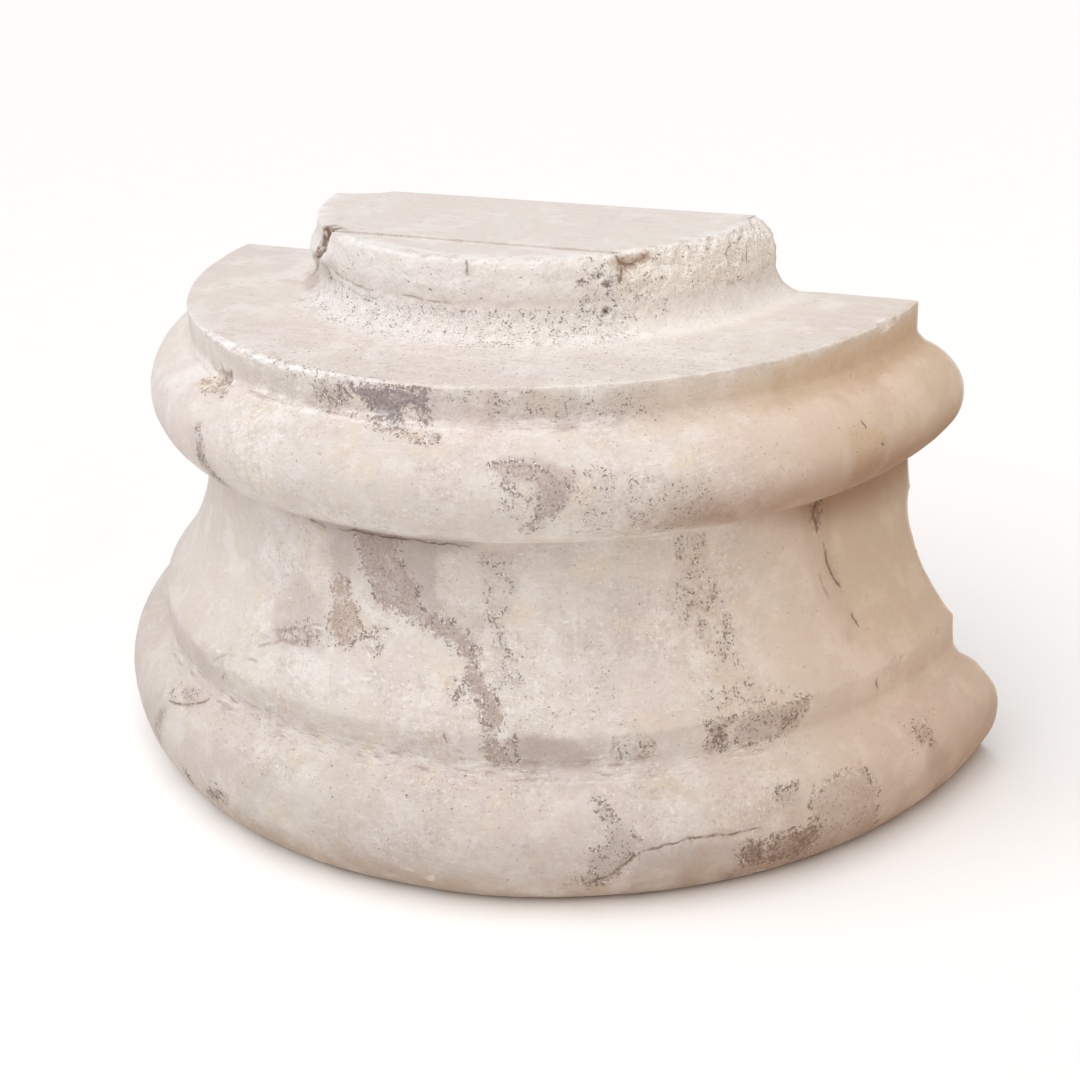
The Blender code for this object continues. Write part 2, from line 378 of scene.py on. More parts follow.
# The seat's left end was dressed less: it stands out as a lobe, and a crumbling crack parts it from
# the front. The lobe's outline and the crack's angle are both given from the shelf up.
LOBE_HEIGHTS = (0.2825, 0.2850, 0.2880, 0.2930, 0.3000, 0.3050, 0.3100, 0.3140, 0.3180, 0.3257)
LOBE_RADII = (0.1640, 0.1585, 0.1555, 0.1530, 0.1537, 0.1555, 0.1545, 0.1520, 0.1500, 0.1485)
CRACK_HEIGHTS = (0.2825, 0.2870, 0.2920, 0.3004, 0.3077, 0.3119, 0.3177, 0.3237, 0.3257)
CRACK_ANGLES = (-63.0, -59.5, -56.0, -50.2, -45.6, -43.6, -43.3, -42.5, -41.8)


def crack_run(points, angle):
    """How far down the seat the points lie, how many degrees left of its crack, and how torn they are."""
    fall = np.clip((BLOCK_HEIGHT - points[:, 2]) / (BLOCK_HEIGHT - SHELF_HEIGHT), 0.0, 1.0)
    crack_angle = np.interp(points[:, 2], CRACK_HEIGHTS, CRACK_ANGLES)
    beside = crack_angle - angle + 0.9 * bumps(points, 0.007, 3, 11.0)
    torn = ease((beside + 1.5) / 1.0) * ease((4.2 - 2.6 * ease((fall - 0.25) / 0.35) - beside) / 1.3)
    return fall, beside, torn


fall, beside_crack, torn = crack_run(points, angle)
radius = np.hypot(points[:, 0], points[:, 1] - AXIS)
off_shelf = ease((0.163 - radius) / 0.006)
standing = np.interp(points[:, 2], LOBE_HEIGHTS, LOBE_RADII) - radius
beside_it = np.maximum(ease(beside_crack / 3.0), 0.65 * ease((beside_crack + 10.0) / 9.0))
standing = np.maximum(standing, 0.0) * beside_it * (fall < 1.0)
half_open = 0.60 + 0.80 * ease((0.62 - fall) / 0.5)
crack = ease(1.25 - np.abs(beside_crack) / half_open) * ease((0.88 - fall) / 0.3) * off_shelf
crumbs = 0.75 + 0.45 * bumps(points, 0.0045, 2, 23.0)
inward = standing - 0.0068 * crack * crumbs * (1.0 - 0.55 * fall)
inward -= torn * 0.0016 * np.abs(bumps(points, 0.0050, 2, 27.0)) * off_shelf
inward *= carved
points[:, 0] += inward * np.sin(np.radians(angle))
points[:, 1] -= inward * np.cos(np.radians(angle))


def dent(angle, radius, height, tilt, sizes, depth, lean=0.0):
    """Presses in an oval hollow; its sizes are its half length, along the arc, and its half height."""
    place = on_front(angle, radius, height)
    outward = facing(angle, tilt)
    side = np.cross(outward, (0.0, 0.0, 1.0))
    side /= np.linalg.norm(side)
    up = np.cross(side, outward)
    turn = radians(lean)
    away = points - place
    across = (away @ side * cos(turn) + away @ up * sin(turn)) / sizes[0]
    along_up = (away @ up * cos(turn) - away @ side * sin(turn)) / sizes[1]
    near = np.hypot(across, along_up) < 1.3
    near &= np.linalg.norm(away, axis=1) < 1.5 * max(sizes)
    ragged = 1.0 + 0.40 * bumps(points[near], 0.003, 2, place[0] * 90.0)
    bowl = ease(1.15 - np.hypot(across[near], along_up[near]) * ragged)
    points[near] -= outward * (depth * bowl)[:, None]


def flake(angle, radius, height, tilt, depth, reach, faces=None):
    """Breaks off what stands beyond a rough plane that lies depth under a place on an edge."""
    place = on_front(angle, radius, height)
    outward = facing(angle if faces is None else faces, tilt)
    away = points - place
    near = np.linalg.norm(away, axis=1) < reach
    beyond = away[near] @ outward + depth
    beyond += min(0.5 * depth, 0.0005) * bumps(points[near], 0.0035, 2, place[0] * 70.0)
    fade = ease((reach - np.linalg.norm(away[near], axis=1)) / (0.3 * reach))
    points[near] -= outward * (np.maximum(beyond, 0.0) * fade)[:, None]


# The seat's rim, the hollow in it on the right, and the holes under that.
dent(42.4, 0.1475, 0.3225, 40.0, (0.0105, 0.0055), 0.0034, lean=-8.0)
dent(35.7, 0.150, 0.295, 10.0, (0.0026, 0.0026), 0.0034)
dent(36.2, 0.149, 0.3098, 0.0, (0.0034, 0.0018), 0.0030)
dent(34.4, 0.148, 0.3145, 0.0, (0.0012, 0.0022), 0.0022)
dent(30.6, 0.148, 0.3118, 0.0, (0.0020, 0.0014), 0.0016)
flake(86.0, SEAT_TOP_RADIUS, BLOCK_HEIGHT, 42.0, 0.0046, 0.022, faces=84.0)
flake(87.0, SEAT_TOP_RADIUS - 0.004, BLOCK_HEIGHT, 66.0, 0.0022, 0.018, faces=86.0)
flake(78.0, SEAT_TOP_RADIUS, BLOCK_HEIGHT, 48.0, 0.0026, 0.014, faces=74.0)
chance = random.Random(7)
for _ in range(90):
    where = chance.uniform(-38.0, 86.0)
    depth = chance.uniform(0.0008, 0.0024)
    flake(where, 0.1440, BLOCK_HEIGHT, chance.uniform(35.0, 62.0), depth, 0.007)

# The shelf's edge is knocked about from the left front to the middle, with a notch far to the right.
for _ in range(60):
    where = chance.triangular(-38.0, 24.0, -8.0)
    depth = chance.uniform(0.0005, 0.0022)
    tilt = chance.uniform(15.0, 60.0)
    flake(where, SHELF_RADIUS, SHELF_HEIGHT, tilt, depth, chance.uniform(0.004, 0.008))
for _ in range(40):
    where = chance.uniform(-86.0, 86.0)
    flake(where, SHELF_RADIUS, SHELF_HEIGHT, 45.0, chance.uniform(0.0003, 0.0008), 0.003)
flake(76.4, SHELF_RADIUS, SHELF_HEIGHT, 40.0, 0.0032, 0.0085, faces=72.0)
flake(78.6, SHELF_RADIUS, SHELF_HEIGHT, 30.0, 0.0020, 0.0060, faces=80.0)

# Chips in the arris under the scotia, and the larger hurts on the two torus mouldings.
for _ in range(34):
    where = chance.uniform(-86.0, 86.0)
    flake(where, ARRIS_RADIUS, ARRIS_HEIGHT, 20.0, chance.uniform(0.0003, 0.0010), 0.004)
flake(-26.4, ARRIS_RADIUS, ARRIS_HEIGHT, 25.0, 0.0017, 0.010)
dent(-29.5, 0.2365, 0.2610, 20.0, (0.0125, 0.0075), 0.0032)
dent(-29.2, 0.2860, 0.0675, 50.0, (0.0180, 0.0036), 0.0011, lean=22.0)
dent(-33.4, 0.2985, 0.0500, 10.0, (0.0050, 0.0110), 0.0012, lean=-8.0)
points[~carved] = places(block)[~carved]
put(block, points)


# The saw: one straight cut behind, and two level ones that leave the seat's front strip a little lower.
STEP = AXIS - 0.1095
STEP_DEPTH = 0.0012


def rough_box(name, low, high, cells):
    """A box whose sides are laid out in square cells, to cut with."""
    low = Vector(low)
    high = Vector(high)
    bpy.ops.mesh.primitive_cube_add(size=1.0)
    box = bpy.context.object
    box.name = name
    edit()
    bpy.ops.mesh.subdivide(number_cuts=cells)
    bpy.ops.transform.resize(value=high - low)
    bpy.ops.transform.translate(value=(low + high) / 2)
    leave()
    return box


def hold(piece):
    """Makes a piece the only one chosen."""
    bpy.ops.object.select_all(action="DESELECT")
    piece.select_set(True)
    bpy.context.view_layer.objects.active = piece


def saw(piece, blade):
    """Takes the blade's shape out of a piece."""
    hold(piece)
    take = piece.modifiers.new(blade.name, "BOOLEAN")
    take.operation = "DIFFERENCE"
    take.solver = "EXACT"
    take.object = blade
    bpy.ops.object.modifier_apply(modifier=take.name)
    bpy.data.objects.remove(blade)


back_saw = rough_box("back_saw", (-0.32, BACK, -0.02), (0.32, BACK + 0.06, 0.35), 56)
points = places(back_saw)
face = points[:, 1] < BACK + 0.001
sway = 0.0005 * bumps(points, 0.09, 3) + 0.00035 * bumps(points * (0.15, 1.0, 1.0), 0.009, 2, 5.0)
points[:, 1] -= face * np.clip(0.0006 + sway, 0.0, 0.002)
put(back_saw, points)
saw(block, back_saw)


def level_saw(name, front, rear, height, cells):
    """The space over one of the seat's two level tops; a saw leaves them only slightly uneven."""
    blade = rough_box(name, (-0.18, front, height), (0.18, rear, height + 0.03), cells)
    points = places(blade)
    under = points[:, 2] < height + 0.0001
    grain = 0.00006 * bumps(points * (0.3, 1.0, 1.0), 0.02, 3) - 0.00008
    points[:, 2] += under * np.minimum(grain, 0.0)
    put(blade, points)
    return blade


saw(block, level_saw("top_saw", -0.02, 0.18, BLOCK_HEIGHT, 40))
saw(block, level_saw("step_saw", -0.02, STEP, BLOCK_HEIGHT - STEP_DEPTH, 24))


def breakage(name, place, sizes, steps, grain, depth):
    """A lump of roughly the given half sizes, with a broken surface, to take out of a piece."""
    bpy.ops.mesh.primitive_ico_sphere_add(subdivisions=steps, radius=1.0)
    lump = bpy.context.object
    lump.name = name
    edit()
    bpy.ops.transform.resize(value=sizes)
    bpy.ops.transform.translate(value=place)
    leave()
    points = places(lump)
    outward = directions(lump)
    torn_face = bumps(points, grain, 4) + 1.2 * scoops(points, 1.6 * grain) - 0.8
    points += outward * (depth * torn_face)[:, None]
    put(lump, points)
    return lump


# A long shallow scoop has spalled off the back edge on the right, and a corner is gone from the seat.
saw(block, breakage("back_spall", (0.290, BACK, 0.092), (0.110, 0.0245, 0.088), 6, 0.020, 0.0014))
saw(block, breakage("seat_corner", (-0.149, BACK, BLOCK_HEIGHT), (0.036, 0.014, 0.007), 4, 0.010, 0.0009))

edit()
bpy.ops.mesh.select_all(action="SELECT")
bpy.ops.mesh.remove_doubles(threshold=0.00005)
bpy.ops.mesh.normals_make_consistent(inside=False)
leave()
hold(block)
bpy.ops.object.shade_smooth_by_angle(angle=radians(42.0))

# Where each vertex lies on the stone after the cuts, and where it seems to lie to a mark, so that no
# mark runs quite straight. Marks are given in degrees from the front and in millimetres of height.
FAR = 12.0  # in millimetres, beyond which no mark is looked for
FELT = 7.0  # in millimetres, beyond which no stroke is felt
TINY = 1e-9  # added where a division could be by nothing
points = places(block)
out = directions(block)
angle, length, radius = unroll(points)
height = points[:, 2]
arc = radians(1.0) * radius * 1000.0  # millimetres to a degree
front = (points[:, 1] < BACK - 0.003) & (height > 0.0005)


def sideways(shift):
    """How many millimetres a mark strays at each vertex."""
    return 0.9 * bumps(points, 0.009, 2, shift) + 0.5 * bumps(points, 0.0035, 1, shift + 2.0)


warped_angle = angle + sideways(31.0) / arc
warped_length = length * 1000.0 + sideways(35.0)


def down_the_line(height):
    """How many millimetres down the line a height in millimetres lies."""
    return np.interp(np.array(height) / 1000.0, worn_line[::-1, 1], worn_length[::-1]) * 1000.0


def nearby(spots):
    """The vertices that a mark with these corners can touch."""
    spots = np.array(spots, float)
    downs = down_the_line(spots[:, 1])
    near = front & (warped_length > downs.min() - FAR) & (warped_length < downs.max() + FAR)
    near &= (angle - spots[:, 0].min()) * arc > -FAR
    near &= (angle - spots[:, 0].max()) * arc < FAR
    return np.flatnonzero(near), spots[:, 0], downs


def stretches(near, turns, downs, closed):
    """For each stretch of a mark: how far off it is, on which side, how far along the mark its nearest
    place lies, and whether a ray from the vertex to one side cuts it."""
    count = len(turns)
    for start in range(count if closed else count - 1):
        end = (start + 1) % count
        from_x = (turns[start] - warped_angle[near]) * arc[near]
        from_y = downs[start] - warped_length[near]
        run_x = (turns[end] - turns[start]) * arc[near]
        run_y = downs[end] - downs[start]
        part = np.clip(-(from_x * run_x + from_y * run_y) / (run_x**2 + run_y**2 + TINY), 0.0, 1.0)
        off = np.hypot(from_x + part * run_x, from_y + part * run_y)
        side = np.sign(from_x * run_y - from_y * run_x)
        crosses = (from_y > 0) != (from_y + run_y > 0)
        crosses &= from_x - from_y * run_x / (run_y + TINY) > 0
        yield off, side, (start + part) / max(count - 1, 1), crosses


def inside(outline):
    """How many millimetres the vertices lie inside an outline; outside it, below zero."""
    near, turns, downs = nearby(outline)
    off = np.full(len(near), FAR)
    within = np.zeros(len(near), bool)
    for distance, _, _, crosses in stretches(near, turns, downs, True):
        off = np.minimum(off, distance)
        within ^= crosses
    depth = np.full(len(points), -FAR)
    depth[near] = np.where(within, off, -off)
    return depth


def patches(outlines):
    return np.max([inside(outline) for outline in outlines], axis=0)


waver = 5.0 * bumps(points, 0.018, 3, 41.0)  # in millimetres, how far the edge of a soft patch wanders


def soft_patches(outlines):
    """A strength for each outline, spread softly over an edge of its own width in millimetres."""
    strength = np.zeros(len(points))
    for power, edge, outline in outlines:
        strength = np.maximum(strength, power * ease(inside(outline) / edge + waver / 8.0 + 0.5))
    return strength


def strokes(lines):
    """How far across its nearest stroke each vertex lies, and how strongly it is felt there."""
    across = np.full(len(points), FAR)
    felt = np.zeros(len(points))
    for power, taper, line in lines:
        near, turns, downs = nearby(line)
        for off, side, along_it, _ in stretches(near, turns, downs, False):
            closer = off < np.abs(across[near])
            chosen = near[closer]
            across[chosen] = (off * side)[closer]
            ends = ease(along_it[closer] / taper) * ease((1.0 - along_it[closer]) / taper)
            felt[chosen] = power * ends * ease((FELT - off[closer]) / 3.0)
    return across, felt


# A patch on the upper fillet that is grey and among the darkest, and a band down the scotia that is
# both veiled and pitted. Each corner of an outline is an angle in degrees and a height in millimetres.
fillet_patch = [
    (-1.8, 278), (0, 279.5), (5, 280.2), (8.6, 280), (8.3, 270), (8.6, 262), (7.8, 262), (6.8, 267),
    (5.6, 269.5), (4.8, 266), (5, 261.2), (0.2, 261.2), (0, 268), (-0.8, 270), (-2, 273), (-2.5, 276),
]
scotia_band = [
    (13.5, 190), (13.8, 170), (14, 158), (15, 145), (15.8, 130), (16, 119), (20, 119), (19.5, 128),
    (18, 137), (17, 150), (17.3, 160), (18.5, 170), (19, 190),
]

# Mauve-grey patches, which are the stone's own colour.
grey_stains = [
    [(-5.5, 202), (-4.5, 183), (-3.8, 170), (-2.8, 166), (-1.8, 160), (-1.5, 155), (-0.3, 152),
     (3, 149), (5, 146), (7, 143), (8.5, 139.5), (10.5, 136.5), (11.8, 132), (12.3, 127), (12, 122),
     (13.2, 117), (14.3, 113), (15, 108), (15.5, 99), (17, 99), (17.6, 104), (17, 109), (15.6, 115),
     (14.8, 121), (13.6, 126), (13.3, 130), (13.6, 135), (12.5, 140), (11.8, 144), (10, 148),
     (8.8, 151), (6.5, 152), (5, 155), (4.5, 160), (5, 166), (3.6, 171), (2.2, 178), (2.0, 185),
     (3.2, 202)],
    [(15.2, 90), (15.3, 84), (17, 80.5), (18.4, 79), (19, 84), (18.4, 90), (18.6, 98), (17.9, 97),
     (17, 91.5), (16.6, 91.5), (16, 97), (15.3, 97)],
    [(40.9, 97.5), (41.2, 90), (40.8, 85), (40.7, 79.5), (43.2, 79.5), (43.1, 88), (43.4, 93),
     (44.2, 93.5), (44.6, 88), (44.3, 82), (44.6, 79.5), (50, 80), (53.2, 81.5), (53, 86), (53.5, 90),
     (54.2, 97.5)],
    [(27.2, 68), (27.9, 62), (28.8, 57), (28.9, 50), (28.4, 46), (27, 42), (26.5, 36), (26.6, 30),
     (26, 24), (25.8, 19), (28, 18), (29, 22), (29.6, 28), (30.2, 33), (31.2, 38), (31.8, 43),
     (31.5, 48), (30.5, 54), (29.2, 60), (28.5, 67)],
    [(50.8, 37), (51, 43), (50.6, 48), (50.8, 51), (51.5, 55), (52.2, 54), (53, 57), (54.5, 58.5),
     (56.4, 60), (58.4, 56), (58.6, 50), (59.4, 44), (59.6, 34), (60.4, 20), (60.6, 8), (52, 8),
     (51, 20)],
    [(46.6, 62), (46.8, 60), (47.3, 56), (48.2, 54.5), (48.8, 57), (49.5, 62), (48.6, 60), (47.6, 61)],
    [(66, 66.5), (68.2, 63), (69.2, 57), (68.4, 52), (67.2, 54), (66.4, 60)],
    fillet_patch,
    [(-3.2, 279), (-2.6, 279), (-2, 274), (-2.6, 274)],
    [(17, 249), (19.5, 249.8), (21, 250), (22.5, 248), (24.2, 246), (25.2, 243.5), (25.8, 240),
     (26, 236), (25.3, 231), (24.8, 227), (24.3, 223), (23, 221), (22.3, 218), (21.4, 213), (20.3, 213),
     (21.2, 218), (22.4, 222), (22.9, 229), (22.8, 235), (22.9, 240), (22.3, 243), (20.5, 244.5),
     (19, 246.5), (18.2, 247)],
    [(-27.2, 242), (-26.4, 241), (-25.4, 236), (-25.3, 231), (-25.2, 226), (-24.6, 219), (-23.4, 213),
     (-22.5, 209), (-25.3, 209), (-26, 215), (-27.2, 222), (-26.6, 229), (-26.2, 234)],
    [(-35.6, 33), (-34.4, 33), (-33, 45), (-32, 57), (-33, 57), (-34.5, 47)],
    [(-22.8, 22), (-21.6, 28), (-20.2, 33), (-19.4, 38), (-17.4, 34), (-17.6, 30), (-19.5, 25),
     (-20.6, 20)],
]

# Tan and brown patches, where iron has stained it.
brown_stains = [
    [(-7.6, 164), (-8.6, 160), (-8.5, 155), (-9.2, 150.5), (-8.3, 146), (-8.8, 140), (-8.6, 136),
     (-7.5, 132), (-6.5, 130), (-5.2, 127.5), (-4.3, 128.5), (-4.4, 133), (-3.2, 136), (-3.5, 140),
     (-4, 145), (-4.6, 150), (-5.8, 153), (-6, 159), (-6.6, 163)],
    [(12, 129), (13.6, 129), (15.2, 118), (17.4, 106), (17.2, 99), (15.2, 99), (14.4, 112), (13, 118)],
    [(15.1, 92), (15.2, 84), (17, 80.4), (17.8, 84), (17.6, 92), (16.4, 94)],
    [(42.8, 24), (42, 31), (43, 36), (44.3, 35.5), (45, 32.5), (45.8, 35), (47.5, 36.5), (49, 35.5),
     (50, 37), (51.5, 38.5), (52, 34), (52.4, 28), (51.5, 22), (51, 15), (51, 8), (42, 8), (42.4, 17)],
    [(-4.4, 276), (-3.6, 275), (-3.8, 270), (-4.2, 267), (-5.6, 263), (-6.6, 263), (-6.8, 271),
     (-5.2, 271)],
    [(30.6, 39), (31.4, 39), (30.2, 33), (29.6, 27), (28.8, 23), (28.2, 24), (28.6, 29), (29.6, 34)],
    [(-33, 257.5), (-30, 259.5), (-27, 260.5), (-25.4, 257), (-27.4, 258), (-29.6, 256)],
    [(0.8, 259.6), (3, 259.8), (6, 258.6), (10, 258.4), (10, 256.8), (7.8, 256.4), (5.6, 257.6),
     (3, 258.2)],
]

# Soft veils of grey: how strong, how soft their edge is in millimetres, and where.
veils = [
    (0.95, 10, [(1, 197), (2, 166), (4.5, 152), (9.4, 151), (8.2, 165), (8.6, 197)]),
    (0.70, 11, [(-11, 204), (-9, 183), (-9, 158), (-5.6, 158), (-4.6, 171), (-4.6, 183), (-3, 204)]),
    (0.30, 6, scotia_band),
    (0.14, 6, [(39.2, 192), (39.6, 178), (39.4, 160), (38.6, 150), (40, 140), (42, 128), (41, 112),
        (41, 99), (49, 99), (48, 112), (47, 125), (46.5, 140), (45.5, 155), (45, 172), (45, 192)]),
    (0.22, 7, [(24, 79), (31, 79), (30, 97), (24, 97)]),
    (0.85, 7, [(17, 79), (26, 79.6), (27.4, 86), (26, 97), (21, 99), (18.6, 98.6)]),
    (0.75, 8, [(-14, 196), (-11, 187), (-7, 180), (3, 178), (9, 186), (14, 192), (14, 205),
        (-14, 205)]),
    (0.30, 8, [(-34, 97), (-29, 97), (-25, 97), (-26, 88), (-32, 84)]),
    (0.40, 7, [(-5, 40), (10, 40), (14, 26), (14, 6), (-5, 6)]),
    (0.30, 9, [(12, 50), (24, 48), (25, 8), (13, 8)]),
    (0.25, 12, [(-22, 66), (-2, 62), (0, 44), (-20, 48)]),
    (0.22, 9, [(-4, 72), (13, 70), (12, 44), (-5, 44)]),
    (0.38, 7, [(-36.5, 62), (-32, 60), (-33.5, 45), (-36, 30), (-40, 22), (-40, 45)]),
    (0.20, 7, [(26, 42), (28.5, 50), (31.5, 50), (31.5, 40), (29, 24), (26, 8), (22, 8), (25, 26)]),
    (0.85, 9, [(31, 40), (43, 38), (43, 2), (30, 2)]),
    (0.62, 8, [(51, 34), (60, 30), (70, 40), (72, 0), (50, 0)]),
    (0.70, 9, [(68.5, 52), (71.5, 50), (73, 34), (73, 6), (67.5, 6), (67, 30)]),
    (1.00, 6, [(17, 251), (20, 252), (24, 250), (26.5, 244), (26.5, 232), (25, 222), (22.5, 222),
        (23, 232), (22.5, 241), (19, 244), (17, 247)]),
    (0.70, 5, [(-66, 284), (-52, 292), (-50, 286), (-52, 283.4), (-66, 282.7)]),
    (0.45, 5, [(46.6, 63), (50, 63), (50, 52), (47, 51)]),
    (0.35, 8, [(-16, 34), (-6, 30), (-4, 8), (-18, 14)]),
    (0.45, 6, [(-12, 262), (-3, 261), (-3, 280), (-8, 279)]),
    (0.50, 9, [(15, 262), (42, 262), (38, 280), (16, 280)]),
    (0.28, 9, [(-26, 262), (-12, 262), (-12, 278), (-24, 278)]),
    (0.35, 8, [(8, 262), (15, 262), (15, 278), (9, 278)]),
    (0.32, 7, [(36, 240), (41, 240), (44, 210), (37, 208)]),
    (0.30, 7, [(9, 258), (12, 258), (18, 250), (16.5, 247), (12, 253)]),
    (0.35, 8, [(-29, 240), (-25, 240), (-20, 208), (-28, 208)]),
    (0.45, 10, [(-19, 131), (-13, 127), (-9, 134), (-9.5, 142), (-11, 150), (-14, 157), (-17, 150),
        (-16, 142)]),
    (0.70, 9, [(-18, 130), (-9, 133), (-8, 120), (-14, 116), (-19, 120)]),
    (0.22, 14, [(-12, 262), (34, 262), (34, 214), (-12, 214)]),
    (0.28, 12, [(24, 172), (34, 172), (36, 118), (25, 118)]),
    (0.45, 9, [(8, 158), (13, 154), (14.5, 140), (11.5, 140), (8, 148)]),
    (0.55, 4, [(-20, 119), (-16, 121), (-8, 133.5), (-8, 129), (-13, 122.5), (-20, 116)]),
    (0.35, 5, [(46.4, 63), (50, 63), (49.4, 40), (47.4, 40)]),
    (0.35, 5, [(59.5, 192), (65, 192), (65, 120), (63, 112), (60, 130)]),
    (0.10, 6, [(50.6, 52), (53, 57), (56.5, 60), (60, 58), (62, 40), (62, 8), (51.5, 8), (50.8, 40)]),
    (0.30, 9, [(59, 56), (66, 50), (68, 8), (59, 8)]),
]

# Where the face is pitted: how densely, how soft the edge is, and where.
pitted = [
    (1.00, 4, [(-3.4, 140), (1.0, 140), (1.1, 135), (0.5, 127), (-1, 128), (-3.4, 132)]),
    (0.85, 5, [(0.5, 153), (9, 152), (13, 142), (13.5, 130), (12, 128), (9.5, 137), (5, 143),
        (0.5, 146)]),
    (1.00, 4, [(9.4, 122), (12.2, 123), (12.2, 110), (10.6, 106), (9.6, 112)]),
    (0.95, 4, [(12.2, 116), (15.2, 116), (17.6, 106), (16.6, 101), (14.5, 105), (12.6, 110)]),
    (0.75, 6, scotia_band),
    (0.75, 5, [(39.0, 192), (39.6, 178), (38.8, 150), (42, 138), (43.5, 120), (47, 118), (47, 135),
        (45.8, 155), (44.5, 172), (44.5, 192)]),
    (0.70, 6, [(40.5, 112), (49, 112), (53, 100), (41, 100)]),
    (0.80, 5, [(-8.8, 137), (-4, 137), (-4, 126), (-8, 127)]),
    (0.70, 6, [(-12, 136), (-9, 130), (-9, 122), (-15, 119), (-17, 124)]),
    (0.20, 7, [(-20, 165), (-12, 172), (-9, 150), (-13, 138), (-20, 140)]),
    (0.25, 8, [(18, 125), (30, 125), (32, 100), (19, 100)]),
    (0.10, 9, [(18, 190), (38, 190), (38, 130), (18, 130)]),
    (0.90, 4, [(-9.5, 263), (-2.4, 262), (-2, 273), (-4, 277), (-7, 272)]),
    (0.60, 5, [(-14, 282), (16, 282), (16, 274), (-14, 276)]),
    (0.55, 7, [(15, 280), (38, 280), (38, 263), (15, 263)]),
    (0.80, 5, [(17.2, 246), (20, 244), (22, 236), (21, 222), (18, 224)]),
    (0.65, 6, [(26.5, 248), (31, 246), (31, 208), (25.5, 208)]),
    (0.55, 8, [(33, 240), (43, 240), (41, 205), (32, 205)]),
    (0.12, 8, [(-4, 70), (12, 70), (13, 20), (-5, 20)]),
    (0.90, 5, [(26, 34), (30.5, 34), (29, 18), (25, 18)]),
    (0.75, 5, [(42.5, 34), (46, 36), (46.5, 18), (43, 14)]),
    (0.85, 5, [(46, 63), (50, 62), (49, 52), (47, 54)]),
    (0.70, 5, [(41, 97), (43.2, 97), (43.2, 80), (41, 80)]),
    (0.70, 5, [(44.5, 97), (54, 97), (53, 82), (47, 86)]),
    (0.65, 5, [(65, 68), (69.5, 66), (69.5, 50), (65.5, 54)]),
    (0.18, 8, [(-36, 75), (24, 75), (24, 60), (-36, 60)]),
    (0.22, 4, [(-40, 323), (30, 323), (30, 303), (-40, 303)]),
    (0.60, 4, [(30, 324), (50, 324), (50, 290), (30, 290)]),
    (0.35, 4, [(48, 323), (86, 323), (86, 298), (48, 298)]),
    (0.90, 3, [(-32.5, 268), (-27, 268), (-27, 256), (-32.5, 256)]),
    (0.80, 3, [(-11, 279), (-2, 279), (-2, 263), (-8, 264)]),
    (0.80, 4, [(30, 93), (34.5, 93), (34.5, 81), (30, 81)]),
    (0.75, 4, [(-33.5, 63), (-27.5, 70), (-26, 76), (-29.5, 75), (-34, 68)]),
    (0.70, 5, [(26, 44), (32, 44), (29, 20), (24, 20)]),
]

